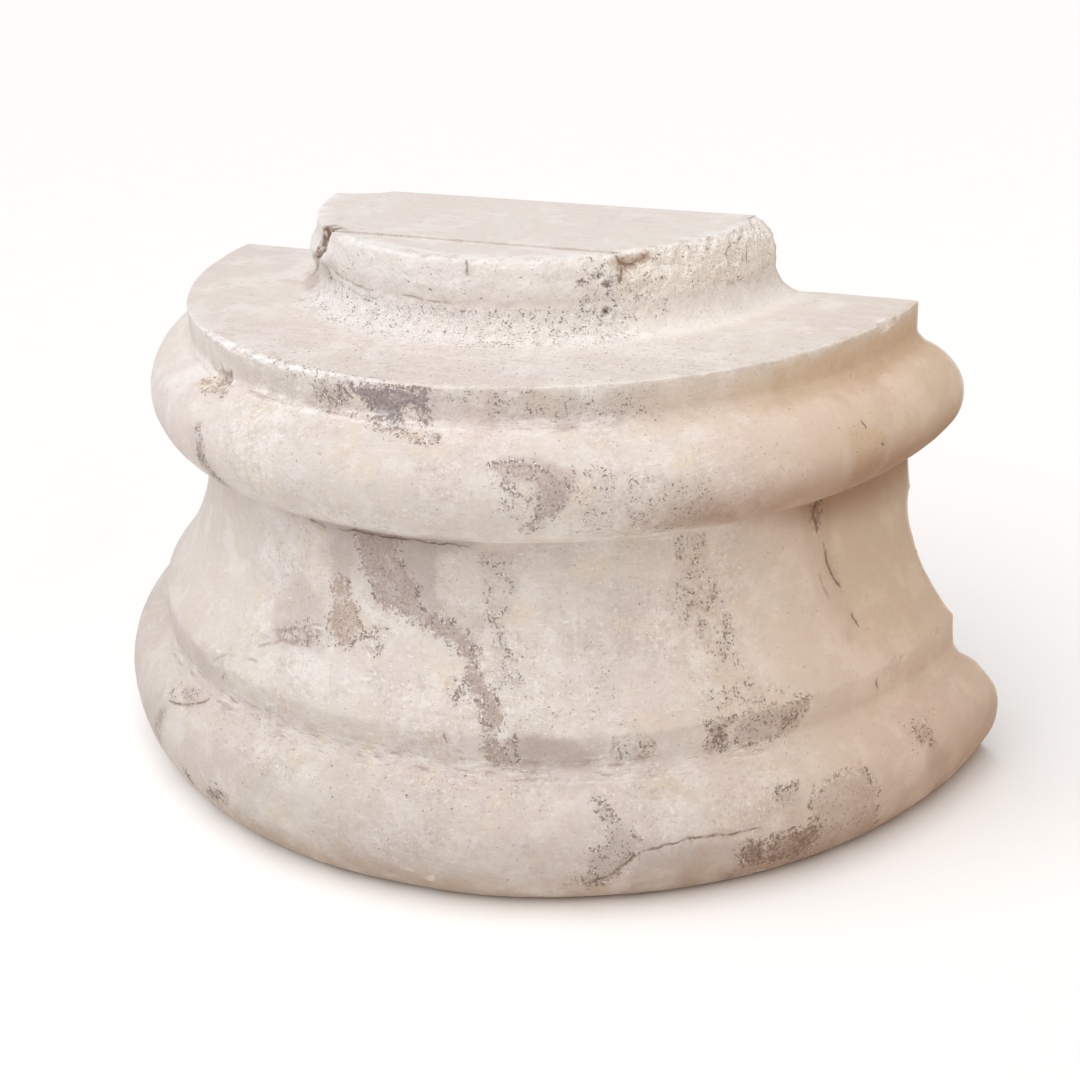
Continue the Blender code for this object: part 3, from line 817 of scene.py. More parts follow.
# Cracks, thin veins that have weathered out, and pale scratches, in three sets whose lines keep apart.
# Each line starts with how strong it is and over what share of it its ends taper.
cracks = [
    (1.0, 0.10, [(62.3, 192), (62.0, 188), (61.4, 184), (62.2, 181), (62.1, 173)]),
    (0.9, 0.20, [(63.0, 168), (63.3, 162), (63.4, 155), (63.8, 148), (64.4, 142), (64.8, 138)]),
    (0.8, 0.30, [(65.0, 126), (65.2, 121), (65.3, 117)]),
    (0.7, 0.25, [(-9, 191), (-5, 191.5), (2, 192), (9, 192), (14, 191)]),
    (0.8, 0.10, [(31.3, 40.6), (33.0, 42.1), (33.8, 41.7), (34.9, 43.3), (35.9, 44.3), (36.4, 43.9),
        (37.0, 45.8), (38.6, 44.4), (40.0, 44.6), (41.6, 43.0), (43.4, 43.6), (45.4, 42.4)]),
    (1.0, 0.15, [(31.3, 40.6), (30.4, 35), (29.6, 31), (28.5, 25), (27.3, 23.2), (25.5, 17.8)]),
    (0.9, 0.25, [(-27.2, 268), (-27.9, 265), (-28.3, 262.4), (-27.2, 260.6)]),
    (0.8, 0.25, [(-13.4, 192), (-11, 191), (-9.5, 190)]),
    (0.9, 0.20, [(44.4, 34), (44.9, 29), (44.7, 24), (45.2, 20), (46, 18.5)]),
    (0.7, 0.30, [(64.8, 94), (64.7, 89), (65.1, 84)]),
    (0.6, 0.30, [(-23.5, 93), (-24.2, 89), (-24.8, 86)]),
    (0.6, 0.30, [(63.6, 246), (64.2, 241)]),
    (0.6, 0.30, [(66.2, 230.5), (66.8, 228)]),
    (0.6, 0.25, [(10.2, 99), (10.4, 94), (10.7, 90)]),
    (1.0, 0.06, [(38.4, 325.6), (39.2, 322.6), (40.6, 319.6), (42.4, 319.0), (44.4, 320.8),
        (47.0, 324.6)]),
    (1.0, 0.10, [(38.8, 323.0), (39.8, 320.0), (41.8, 318.4), (43.6, 319.6)]),
    (0.9, 0.20, [(39.8, 319.0), (39.2, 314.0), (38.6, 309.5)]),
    (0.9, 0.20, [(-44.5, 306), (-43.2, 301), (-42.5, 296.5), (-40.2, 294.6)]),
    (1.0, 0.04, [(-42, 325.6), (-43.3, 317.7), (-43.6, 311.9), (-45.6, 307.7), (-49, 302)]),
    (0.9, 0.15, [(-32.8, 62.6), (-30.5, 65.6), (-28, 68.8), (-26.5, 71.4), (-26.2, 74)]),
    (0.9, 0.25, [(5.3, 325), (5.7, 320.5), (5.5, 315)]),
    (0.5, 0.30, [(-29.0, 314), (-28.8, 311)]),
    (1.0, 0.30, [(34.8, 311.4), (35.6, 310.4), (36.4, 309.4), (37.3, 309.2)]),
    (1.0, 0.30, [(35.1, 297), (35.5, 295), (36.3, 293.4)]),
    (0.9, 0.30, [(34.2, 316), (34.4, 314.2), (34.6, 313)]),
    (0.7, 0.30, [(35.3, 321), (35.5, 319)]),
    (0.6, 0.30, [(33.0, 324.4), (33.5, 323.6)]),
    (0.7, 0.30, [(29.9, 312.4), (30.6, 312.8), (31.2, 311.6)]),
    (0.6, 0.30, [(35.9, 305.6), (36.2, 303)]),
    (0.5, 0.30, [(37.2, 292.4), (36.9, 289.6)]),
    (0.5, 0.30, [(41.4, 300.4), (42.6, 300.8), (43.4, 302)]),
    (0.5, 0.25, [(67.4, 322), (68.2, 318), (66.6, 315), (67, 312)]),
    (0.5, 0.25, [(70.2, 321), (71.6, 321.2), (72.8, 322)]),
    (0.5, 0.30, [(70.4, 310.4), (71.2, 309)]),
    (0.5, 0.30, [(60.6, 320), (61.8, 320), (62.4, 319)]),
    (0.5, 0.25, [(56.6, 324), (56.8, 320.6)]),
    (0.4, 0.25, [(73.4, 318), (72.8, 312), (72.2, 304)]),
]
veins = [
    (0.6, 0.20, [(-26.2, 74), (-24.4, 74.2), (-22.7, 73.6), (-20.5, 74.9)]),
    (0.8, 0.25, [(61.4, 152), (61.7, 146), (61.9, 141), (62.2, 136)]),
    (0.7, 0.20, [(37.0, 45.8), (37.2, 42.6), (37.0, 39.4)]),
    (0.9, 0.15, [(-9, 136), (-12, 131), (-15, 127), (-18, 123)]),
    (0.9, 0.15, [(-8.5, 131), (-11, 127), (-14, 122), (-17, 119.5)]),
    (0.9, 0.15, [(-10, 123), (-13, 121.5), (-16, 119), (-18.6, 115), (-20, 112.5)]),
    (0.8, 0.25, [(-20.8, 105), (-19.4, 106), (-18.2, 107)]),
    (0.6, 0.20, [(-23, 104), (-25, 101.5), (-26.5, 98), (-27, 92)]),
    (0.8, 0.25, [(33.9, 95), (34.2, 91.5), (34.7, 88), (34.6, 85)]),
    (0.7, 0.25, [(14.2, 86.5), (14.8, 88.5), (15.2, 91)]),
    (0.8, 0.25, [(46.2, 92.5), (45.4, 90), (46.6, 88), (47, 85)]),
    (0.8, 0.25, [(-3.0, 279.5), (-2.6, 276.5), (-2.1, 273.5)]),
    (0.5, 0.25, [(58.3, 64), (57.8, 61.5), (57.6, 59.5)]),
    (0.6, 0.25, [(51, 235), (51.3, 232.4)]),
    (0.5, 0.20, [(30, 98), (29.8, 90), (29.7, 82)]),
]
scratches = [
    (0.9, 0.25, [(-35.4, 131), (-34, 134.6), (-32.4, 138), (-31, 143)]),
    (0.7, 0.25, [(-5, 108.6), (-3.4, 111.6), (-1.6, 114.4), (0.4, 116)]),
    (0.5, 0.25, [(-7, 105), (-5.4, 107), (-3.6, 108)]),
    (0.9, 0.20, [(4.6, 41), (5.0, 38), (5.9, 35), (6.3, 31)]),
    (0.7, 0.20, [(6.1, 23.5), (7.4, 21.8), (8.8, 20.1)]),
    (1.0, 0.15, [(9.2, 22.6), (9.3, 18.9), (9.0, 15)]),
    (1.0, 0.15, [(9.7, 21.6), (9.6, 18.4), (9.5, 15.6)]),
    (0.6, 0.20, [(-8.6, 134), (-10.5, 132.6), (-12.5, 130)]),
    (0.6, 0.20, [(-20, 260.3), (-8, 260.6), (6, 260.4), (20, 260.2)]),
    (0.6, 0.25, [(61.7, 184), (61.6, 178), (61.9, 171)]),
    (1.0, 0.20, [(17.0, 102.6), (17.3, 99), (16.9, 95)]),
    (1.0, 0.20, [(17.6, 101), (17.7, 98), (17.5, 95.6)]),
    (0.6, 0.15, [(20, 72.7), (28, 72.8), (38, 72.4)]),
    (0.7, 0.30, [(47.6, 58.6), (47.9, 56.6)]),
    (1.0, 0.20, [(43.4, 300.4), (44.2, 299.6), (44.8, 298.8)]),
    (0.9, 0.20, [(58.4, 309), (57.6, 304), (57.0, 299)]),
    (0.9, 0.20, [(57.9, 318.6), (58.6, 317.2), (59.2, 316.6)]),
    (0.9, 0.20, [(69.2, 311), (69.8, 309.6), (70.2, 308.6)]),
    (0.9, 0.20, [(67.2, 315.6), (68.0, 316.4)]),
    (0.7, 0.30, [(5.2, 270.4), (6.2, 267), (7, 263)]),
    (0.6, 0.25, [(-1.6, 270), (-1.2, 266.6)]),
]


def keep(name, *values):
    """Stores up to three numbers at every vertex under a name, for the stone's material to read."""
    stored = np.zeros((len(points), 3))
    for column, value in enumerate(values):
        stored[:, column] = value
    attribute = block.data.attributes.new(name, "FLOAT_VECTOR", "POINT")
    attribute.data.foreach_set("vector", stored.ravel())


keep("patches", patches(grey_stains), patches(brown_stains), soft_patches(veils))
keep("cracks", *strokes(cracks), between(angle, -41.0, 3.0, 6.0, 10.0) * front)
keep("veins", *strokes(veins))
keep("scratches", *strokes(scratches))

# The faces that lie level, over which no crack runs.
slopes = np.empty(len(block.data.polygons) * 3)
block.data.polygons.foreach_get("normal", slopes)
flat = block.data.attributes.new("flat", "FLOAT", "FACE")
flat.data.foreach_set("value", (slopes[2::3] > 0.97).astype(float))

# The darkest places in the patches.
dark_stains = [
    fillet_patch,
    [(-4.8, 276), (-3.6, 275.5), (-3.9, 270), (-5.2, 269.5)],
    [(45.4, 32), (48, 35), (51.4, 35), (52, 26), (51.6, 18), (49, 13), (46, 15)],
    [(42.6, 33), (44.6, 34.5), (45.4, 27), (45.6, 17), (43.4, 17), (42.8, 25)],
    [(-27, 227), (-25.4, 227), (-24.9, 220), (-26.8, 221)],
    [(-26, 214), (-24, 215), (-22.6, 209.5), (-25, 209)],
    [(-21.8, 25), (-20.2, 33), (-18.4, 34), (-18.2, 30), (-20, 25)],
    [(41.3, 95), (43, 94), (43, 84), (41.2, 84)],
    [(50, 91), (52.4, 90), (52, 84), (50.2, 85)],
    [(-27.6, 32), (-26.6, 32), (-26, 22), (-27.4, 20)],
    [(26.0, 24), (27, 23.5), (28.4, 19), (26.4, 18.4)],
    [(61.4, 193), (63.4, 192), (63.2, 184), (62.6, 176), (61.6, 177), (61.2, 184)],
    [(34.9, 297), (36.5, 296.8), (36.7, 293.4), (35.1, 293.2)],
    [(34.8, 311.2), (37.2, 310.8), (37.6, 308.6), (35.4, 308.2)],
    [(33.9, 316.4), (34.8, 316.2), (35.0, 312.8), (34.2, 312.6)],
    [(29.8, 312.8), (31.3, 312.8), (31.4, 311.0), (30.0, 310.8)],
]

# Golden brown stains without an edge, and the calmer face towards both ends, which has less crust.
golden = [
    (0.80, 7, [(61.4, 243), (66.0, 242), (67.8, 232), (67, 216), (62.2, 214), (61.0, 228)]),
    (0.30, 12, [(60, 195), (88, 195), (88, 105), (64, 105)]),
    (0.40, 14, [(34, 280), (56, 280), (56, 257), (34, 257)]),
    (0.80, 14, [(54, 282), (90, 282), (90, 257), (50, 257)]),
    (0.20, 16, [(44, 257), (90, 257), (90, 210), (48, 210)]),
    (0.30, 9, [(-18, 26), (24, 24), (40, 30), (42, 0), (-20, 0)]),
    (1.00, 3, [(36.5, 326), (37.5, 318), (39, 314), (44, 315), (49, 322), (49, 326)]),
    (0.60, 4, [(38.6, 318), (41, 318), (41.5, 308), (39, 304)]),
    (0.50, 4, [(-33, 267), (-27, 267), (-27, 256), (-33, 256)]),
]
below_shelf = ease((0.285 - height) / 0.015)
calm = np.maximum(ease((angle - 45.0) / 9.0), 0.6 * ease((-angle - 18.0) / 10.0)) * below_shelf
keep("dark", patches(dark_stains), calm, soft_patches(golden))

# The seat: how far below the crease under its wall, the wall itself, and its bruised rim.
SEAT_RIM = length_at(SEAT_TOP_RADIUS, BLOCK_HEIGHT)
crease_off = (length - crease_at(points)) * 1000.0
on_wall = between(length, SEAT_RIM, 0.003, GROOVE + 0.004, 0.006) * front
off_rim = np.where(length < SEAT_RIM, (SEAT_RIM - length) / 0.0010, (length - SEAT_RIM) / 0.0024)
seat_rim = ease(1.5 - off_rim) * ease((angle + 40.0) / 3.0) * front
keep("seat", np.clip(crease_off, -FAR, FAR), on_wall, seat_rim)

# The run along the mouldings, in metres, and the two coves, where the tool was drawn along.
lower_cove = ease(1.4 - np.abs(length - LOWER_COVE + 0.002) / 0.0075) * ease((58.0 - angle) / 12.0)
upper_cove = 0.8 * ease(1.4 - np.abs(length - UPPER_COVE + 0.001) / 0.0050) * ease((42.0 - angle) / 16.0)
cove = np.maximum(lower_cove, upper_cove) * ease((angle + 44.0) / 8.0) * front
keep("run", radians(1.0) * angle * radius, length, cove)

# Hollows are painted darker, as shade, and what stands out is rubbed and bruised white. A vertex stands
# out by what it lies beyond the same mesh smoothed, less what is usual at that length of the moulding.
edge_ends = np.empty(len(block.data.edges) * 2, dtype=np.int64)
block.data.edges.foreach_get("vertices", edge_ends)
one_end, other_end = edge_ends.reshape(-1, 2).T
neighbours = np.bincount(edge_ends, minlength=len(points))


def levelled(values, times):
    """Values at the vertices, each averaged with its neighbours so many times."""
    for _ in range(times):
        total = np.bincount(one_end, values[other_end], len(points))
        total += np.bincount(other_end, values[one_end], len(points))
        values = 0.5 * values + 0.5 * total / np.maximum(neighbours, 1)
    return values


smooth_face = np.stack([levelled(points[:, column], 14) for column in range(3)], axis=1)
stands_out = 1000.0 * np.einsum("ij,ij->i", points - smooth_face, out)
stands_out *= ease((length - SEAT_RIM + 0.0014) / 0.0010)
step_down = (length / 0.0012).astype(int)
usual = np.bincount(step_down, stands_out * front) / np.maximum(np.bincount(step_down, front), 1)
stands_out -= usual[step_down]
knocked = np.clip((angle + 40.0) / 6.0, 0.0, 1.0) * np.clip((8.0 - angle) / 14.0, 0.0, 1.0)
edge_share = 0.22 + 0.78 * knocked
edge_width = 2.6 * edge_share + 0.8 * bumps(points, 0.008, 2, 43.0)
off_edge = np.abs((length - SHELF_EDGE) * 1000.0 + 1.2 * knocked)
near_shelf_edge = ease(1.7 - off_edge / np.maximum(edge_width, 0.4)) * edge_share * front
bruised = np.maximum(ease((stands_out - 0.10) / 0.40) * front * 0.8, near_shelf_edge)
on_rubble = between(length, GROOVE, 0.004, SEAT_FOOT + 0.010, 0.008)
on_rubble *= between(angle, -52.0, 8.0, 46.0, 12.0) * front
fall, beside_crack, torn = crack_run(points, angle)
in_crack = torn * (1.0 - 0.35 * fall) * (radius > SEAT_TOP_RADIUS - 0.004) * front
in_crack *= ease((0.161 - radius) / 0.006)
shade_in_hollows_and_crack = np.maximum(ease((-stands_out - 0.10) / 0.45) * front, in_crack)
sawn = (np.abs(out[:, 2]) > 0.98) & (height > SHELF_HEIGHT - 0.001) & (radius < SHELF_RADIUS - 0.001)
sawn |= points[:, 1] > BACK - 0.003
keep("wear_and_shade", soft_patches(pitted), shade_in_hollows_and_crack, bruised)
keep("ground", sawn.astype(float), on_rubble, in_crack)

# Towards its right end, below the shelf, the stone is tinted warmer: partly its own colour and partly
# painted warm light from the right. It darkens towards the bed. The shelf is worn in front, and most of
# all along its edge from the left front to the middle; the seat's wall is palest where it's coarse, partly
# its own cream and partly painted light thrown up from the shelf.
low = ease((0.125 - height) / 0.045)
foot = ease((0.036 - height) / 0.030)
keep("tint", ease((angle - 26.0) / 46.0) * front * below_shelf, low, foot)
seat_top = sawn & (height > BLOCK_HEIGHT - 0.003)
worn_shelf = sawn & (height < SHELF_HEIGHT + 0.003) & front
worn_shelf = worn_shelf * between(angle, -48.0, 25.0, 62.0, 25.0)
specked = ease(1.5 - np.abs((length - SHELF_EDGE) * 1000.0 + 3.5) / 3.0)
worn_shelf = np.maximum(worn_shelf, 2.6 * specked * between(angle, -26.0, 6.0, 7.0, 8.0))
keep("seat_side", ease((angle - COARSE_FROM) / 10.0) * on_wall, seat_top.astype(float), worn_shelf)

# A small brown stain on the shelf beside the seat's left end; the coved foot of the seat on the right,
# made paler, partly its own colour and partly painted light; and painted shade under the upper torus and
# at the lower one's right end. Under the torus the painted shade is full down to one height and ends at
# another, both lower towards the right.
STAIN_X = -0.148
STAIN_Y = AXIS - 0.0825
spot_off = np.hypot((points[:, 0] - STAIN_X) / 0.0085, (points[:, 1] - STAIN_Y) / 0.0055)
shelf_spot = ease(1.6 - spot_off + 0.10 * waver) * (height < SHELF_HEIGHT + 0.006)
on_foot = between(length, GROOVE - 0.002, 0.006, SEAT_FOOT + 0.012, 0.012) * front
UNDER_ANGLES = (40.0, 49.0, 62.0, 77.0)
under_end = np.interp(angle, UNDER_ANGLES, (0.199, 0.188, 0.168, 0.157))
under_full = np.interp(angle, UNDER_ANGLES, (0.209, 0.206, 0.193, 0.193))
shade_under_torus = ease((0.239 - height) / 0.028) * ease((height - under_end) / (under_full - under_end))
shade_under_torus *= ease((angle - 27.0) / 17.0) * (0.80 + 0.20 * ease((angle - 56.0) / 10.0))
shade_at_lower_end = 0.45 * ease((angle - 66.0) / 12.0) * ease((0.066 - height) / 0.040)
painted_shade = np.maximum(shade_under_torus, shade_at_lower_end) * front
keep("stain_light_and_shade", shelf_spot, on_foot * ease((angle - 34.0) / 12.0), painted_shade)


# The stone's finish: a pale cream face with veils, patches, pits, cracks and bruises, all matt.
stone = bpy.data.materials.new("stone")
stone.use_nodes = True


class Tone:
    """A value in the stone's finish, so that values can be added and multiplied in plain sums."""

    def __init__(self, socket):
        self.socket = socket

    @staticmethod
    def node(kind, settings, sockets, output=0):
        """Adds a node, gives it its settings and then the values or links of its sockets."""
        nodes = stone.node_tree.nodes
        made = nodes.new("ShaderNode" + kind)
        for name, value in settings.items():
            setattr(made, name, value)
        for key, value in sockets.items():
            if isinstance(value, Tone):
                stone.node_tree.links.new(value.socket, made.inputs[key])
            else:
                made.inputs[key].default_value = value
        return Tone(made.outputs[output])

    def reckon(self, operation, first, second):
        return Tone.node("Math", {"operation": operation}, {0: first, 1: second})

    def __add__(self, other):
        return self.reckon("ADD", self, other)

    def __radd__(self, other):
        return self.reckon("ADD", other, self)

    def __sub__(self, other):
        return self.reckon("SUBTRACT", self, other)

    def __rsub__(self, other):
        return self.reckon("SUBTRACT", other, self)

    def __mul__(self, other):
        return self.reckon("MULTIPLY", self, other)

    def __rmul__(self, other):
        return self.reckon("MULTIPLY", other, self)

    def __abs__(self):
        return self.reckon("ABSOLUTE", self, 0.0)

    def most(self, other):
        return self.reckon("MAXIMUM", self, other)

    def least(self, other):
        return self.reckon("MINIMUM", self, other)

    def rise(self, low, high):
        """Runs smoothly from 0 where this is low to 1 where it is high."""
        if low > high:
            return 1.0 - self.rise(high, low)
        settings = {"interpolation_type": "SMOOTHSTEP"}
        return Tone.node("MapRange", settings, {"Value": self, "From Min": low, "From Max": high})


def blend(first, second, share):
    """The first colour, giving way to the second by a share."""
    settings = {"data_type": "RGBA", "clamp_factor": True}
    return Tone.node("Mix", settings, {0: share, 6: first, 7: second}, 2)


def coated(colour, *coats):
    """The colour under coats of others, laid on in turn, each with the share that it covers."""
    for tint, share in coats:
        colour = blend(colour, tint, share)
    return colour


def stained(colour, *washes):
    """The colour, darkened through tints in turn, each by a share."""
    settings = {"data_type": "RGBA", "blend_type": "MULTIPLY"}
    for tint, share in washes:
        colour = Tone.node("Mix", settings, {0: share, 6: colour, 7: tint}, 2)
    return colour


def kept(name):
    """The three numbers stored at the vertices under a name."""
    stored = Tone.node("Attribute", {"attribute_name": name}, {}, 1)
    return [Tone.node("SeparateXYZ", {}, {0: stored}, column) for column in range(3)]


place = Tone.node("TexCoord", {}, {}, 3)  # the block's own coordinates, in metres


def mottle(size, detail=2.0, roughness=0.5, at=place):
    """Soft noise from 0 to 1, with forms of the given size in millimetres."""
    sockets = {"Vector": at, "Scale": 1000.0 / size, "Detail": detail, "Roughness": roughness}
    return Tone.node("TexNoise", {"noise_dimensions": "3D"}, sockets)


def dots(size, at=place):
    """Scattered round dots: how far off the nearest one is, and a random number of its own."""
    sockets = {"Vector": at, "Scale": 1000.0 / size}
    off = Tone.node("TexVoronoi", {"feature": "F1"}, sockets, 0)
    colour = Tone.node("TexVoronoi", {"feature": "F1"}, sockets, 1)
    return off, Tone.node("SeparateColor", {}, {0: colour}, 0)


CREAM = (0.712, 0.645, 0.586, 1.0)
ROSE = (0.700, 0.598, 0.562, 1.0)
PEACH = (0.735, 0.640, 0.520, 1.0)
ASH = (0.655, 0.612, 0.562, 1.0)
COOL = (0.790, 0.745, 0.715, 1.0)
CHALK = (0.860, 0.822, 0.785, 1.0)
WHITE = (0.920, 0.895, 0.870, 1.0)
MAUVE = (0.455, 0.370, 0.338, 1.0)
TAN = (0.500, 0.395, 0.325, 1.0)
SLATE = (0.268, 0.232, 0.240, 1.0)
UMBER = (0.250, 0.172, 0.135, 1.0)
PIT = (0.300, 0.222, 0.176, 1.0)
RUST = (0.220, 0.145, 0.105, 1.0)
HOLLOW_SHADE = (0.420, 0.340, 0.285, 1.0)
GOLD = (0.560, 0.420, 0.255, 1.0)
HONEY = (0.945, 0.835, 0.715, 1.0)
BUFF = (0.950, 0.893, 0.815, 1.0)
OYSTER = (0.875, 0.832, 0.785, 1.0)
RED_RUST = (0.400, 0.235, 0.155, 1.0)
OCHRE = (0.560, 0.440, 0.320, 1.0)
LOW_DARKENING = (0.84, 0.825, 0.81, 1.0)
FOOT_DARKENING = (0.82, 0.735, 0.67, 1.0)
SHADE_BROWN = (0.55, 0.42, 0.34, 1.0)

# What is stored at the vertices: how far inside or off a mark the place lies, or how much of it.
grey_depth, brown_depth, veil = kept("patches")
dark_depth, calm, golden_here = kept("dark")
crack_across, crack_felt, crease_felt = kept("cracks")
flat_here, _, _ = kept("flat")
crack_felt = crack_felt * (1.0 - flat_here)  # no crack runs over the sawn top
vein_across, vein_felt, _ = kept("veins")
scratch_across, scratch_felt, _ = kept("scratches")
pitting, hollow_shade_and_crack, bruise = kept("wear_and_shade")
sawn_face, rubble_here, in_crack = kept("ground")
crease_across, seat_wall_here, rim_here = kept("seat")
run_along, run_down, cove_here = kept("run")
warm_tint_and_light, low, foot = kept("tint")
warm_seat, top_here, worn_shelf_here = kept("seat_side")
shelf_stain, right_foot, stain_light_and_shade = kept("stain_light_and_shade")

wide = mottle(85.0, 2.0)
middle = mottle(22.0, 3.0, 0.6)
clouds = mottle(8.0, 4.0, 0.65)
small = mottle(5.0, 3.0, 0.6)
grit = mottle(2.6, 2.0, 0.6)
fine = mottle(1.8, 1.5, 0.6)


def shifted(*by):
    """The same places moved, so that a noise read there falls differently."""
    return Tone.node("Mapping", {}, {0: place, 1: by})


def drawn_out(share):
    """The same places drawn out along the block's length."""
    return Tone.node("Mapping", {}, {0: place, 3: (share, 1.0, 1.0)})


saw_lines = mottle(2.0, 2.0, 0.6, drawn_out(0.24))
long_lines = mottle(7.0, 2.0, 0.6, drawn_out(0.10))
streaks = mottle(3.2, 4.0, 0.65, Tone.node("CombineXYZ", {}, {0: run_along * 0.22, 1: run_down}))
slanting = Tone.node("CombineXYZ", {}, {0: run_along * 0.30 + run_down * 0.25, 1: run_down})
scuffs = mottle(2.2, 3.0, 0.6, slanting)

# The face between the marks: warm, ashen and chalky clouds, and a crust of grains that is worn off at
# the sides.
even = (1.0 - calm * 0.6) * (1.0 - sawn_face * 0.6)
ashen = mottle(15.0, 3.0, 0.6, shifted(0.7, 0.2, 0.4)).rise(0.50, 0.66)
cooler = mottle(18.0, 3.0, 0.6, shifted(0.2, 0.9, 0.1)).rise(0.51, 0.64)
chalky = mottle(34.0, 4.0, 0.65, shifted(0.31, 0.12, 0.0)).rise(0.50, 0.62)
zone = mottle(48.0, 2.0, 0.5, shifted(0.9, 0.3, 0.5)).rise(0.44, 0.58)
crusted = (0.35 + 0.80 * zone) * (1.0 - calm * 0.92) * (1.0 - sawn_face * 0.85) + pitting * 0.9
crusted = crusted + worn_shelf_here.least(1.0) * 0.55
scuffed = (1.0 - calm * 0.80) * (1.0 - sawn_face) * (1.0 - zone * 0.5)
colour = coated(
    CREAM,
    (ROSE, wide.rise(0.44, 0.62) * 0.60),
    (PEACH, middle.rise(0.50, 0.64) * even * 0.62),
    (ASH, ashen * even * 0.50),
    (COOL, cooler * even * 0.50),
    (CHALK, chalky * 0.35),
    (MAUVE, clouds.rise(0.50, 0.32) * crusted * 0.22),
    (CHALK, clouds.rise(0.52, 0.68) * crusted * 0.30),
    (MAUVE, grit.rise(0.42, 0.30) * crusted * 0.36),
    (WHITE, grit.rise(0.60, 0.70) * crusted * 0.50),
    (MAUVE, fine.rise(0.38, 0.26) * crusted * 0.34),
    (WHITE, fine.rise(0.63, 0.72) * crusted * 0.45),
    (WHITE, scuffs.rise(0.60, 0.68) * scuffed * 0.45),
    (MAUVE, scuffs.rise(0.40, 0.32) * scuffed * 0.32),
    (CHALK, seat_wall_here * 0.50),
    # the coarse right of the seat's wall, made pale: partly its own cream, partly painted light thrown up
    # from the shelf
    (BUFF, warm_seat * 0.95),
    # the seat's coved foot on the right, made paler: partly its own colour, partly painted light on a cove
    # that faces away from the high lamp
    (OYSTER, right_foot * 0.50),
    (CHALK, top_here * 0.20),
    (CHALK, rubble_here * 0.45),
)

# Veils and patches, whose edges break up into grains and whose colour gathers and thins.
ragged = (small - 0.5) * 10.0 + (grit - 0.5) * 13.0 + (fine - 0.5) * 14.0
crumb = (grit + fine).rise(0.82, 1.18)
gathered = mottle(9.0, 4.0, 0.7, shifted(0.5, 0.5, 0.2)).rise(0.34, 0.64)
worn_off = 1.0 - mottle(7.0, 3.0, 0.6, shifted(0.8, 0.1, 0.6)).rise(0.58, 0.66) * 0.40
tan_share = (brown_depth + ragged).rise(-0.8, 1.1) * worn_off
grey_share = (grey_depth + ragged).rise(-0.8, 1.1) * worn_off
dark_share = (dark_depth + ragged).rise(-0.8, 2.0)
colour = coated(
    colour,
    (MAUVE, veil * (0.35 + middle * 0.8) * (0.55 + grit * 0.6)),
    (TAN, tan_share * (0.50 + 0.28 * gathered + 0.34 * crumb)),
    (MAUVE, grey_share * (0.48 + 0.32 * gathered + 0.34 * crumb) * (1.0 - low * 0.50)),
    (blend(SLATE, UMBER, low), dark_share * (0.15 + 0.35 * gathered + 0.40 * crumb + 0.12 * low)),
    (GOLD, golden_here.least(0.8) * (0.25 + 0.6 * clouds) * (1.0 - warm_seat * 0.5)),
)

# Pits and grains crowd together where the face is pitted and along the patches' edges.
grey_edge = 1.0 - abs(grey_depth + 0.5) * 0.25
brown_edge = 1.0 - abs(brown_depth + 0.5) * 0.25
patch_edge = grey_edge.most(brown_edge).rise(0.0, 1.0)
crowded = mottle(6.5, 2.0, 0.55, shifted(0.1, 0.6, 0.8)).rise(0.38, 0.62)
bruise_here = bruise.most(rim_here * 0.8) * (1.0 - warm_seat * 0.85)
density = pitting.most(patch_edge).most(rubble_here * 0.60)
density = density.most(bruise * 0.45).most(worn_shelf_here * 0.25)
density = density * (0.15 + 1.0 * crowded)
density = density.most(grey_share.most(tan_share) * 0.35)
specks = mottle(1.5, 2.0, 0.65)
grains = mottle(1.4, 2.0, 0.65, shifted(0.05, 0.02, 0.07))
pit_off, pit_chance = dots(2.2)
pit_here = (specks + density * 0.185).rise(0.690, 0.770)
pit_here = pit_here.most((0.002 + 0.06 * density - pit_chance).rise(0.0, 0.004) * pit_off.rise(0.36, 0.20))
grain_here = (grains + density.most(rubble_here) * 0.160).rise(0.690, 0.750)
tan_cloud = (clouds + density * 0.10).rise(0.54, 0.66) * density
colour = coated(
    colour,
    (WHITE, bruise_here * clouds.rise(0.36, 0.52) * 0.9),
    (TAN, tan_cloud * (0.45 - warm_seat * 0.38)),
    (WHITE, grain_here * (0.42 + 0.50 * density)),
    (PIT, pit_here * (0.42 + 0.82 * small)),
)

# Cracks and veins, with their dark line a little broken, pale scratches, and the stripes that the tool
# left in the coves.
wander = (fine - 0.5) * 1.6 + (grit - 0.5) * 1.2
broken_up = small.rise(0.36, 0.58)
mostly_whole = broken_up * 0.6 + 0.4
crack_line = (abs(crack_across + wander) - crack_felt * 0.6).rise(0.45, -0.35) * mostly_whole
crack_line = crack_line * crack_felt.rise(0.0, 0.5)
vein_line = abs(vein_across + wander * 1.3).rise(1.5, 0.3) * vein_felt * mostly_whole
crack_halo = abs(crack_across + wander * 2.0).rise(4.5, 1.0) * crack_felt
scratch_line = abs(scratch_across + wander).rise(1.4, 0.4) * scratch_felt * broken_up
crease = abs(crease_across + wander).rise(1.00, 0.20) * middle.rise(0.32, 0.52) * small.rise(0.34, 0.54)
crease = crease * crease_felt.rise(0.3, 0.7)
rusted = golden_here.rise(0.86, 0.98)
struck = cove_here * middle.rise(0.36, 0.58)
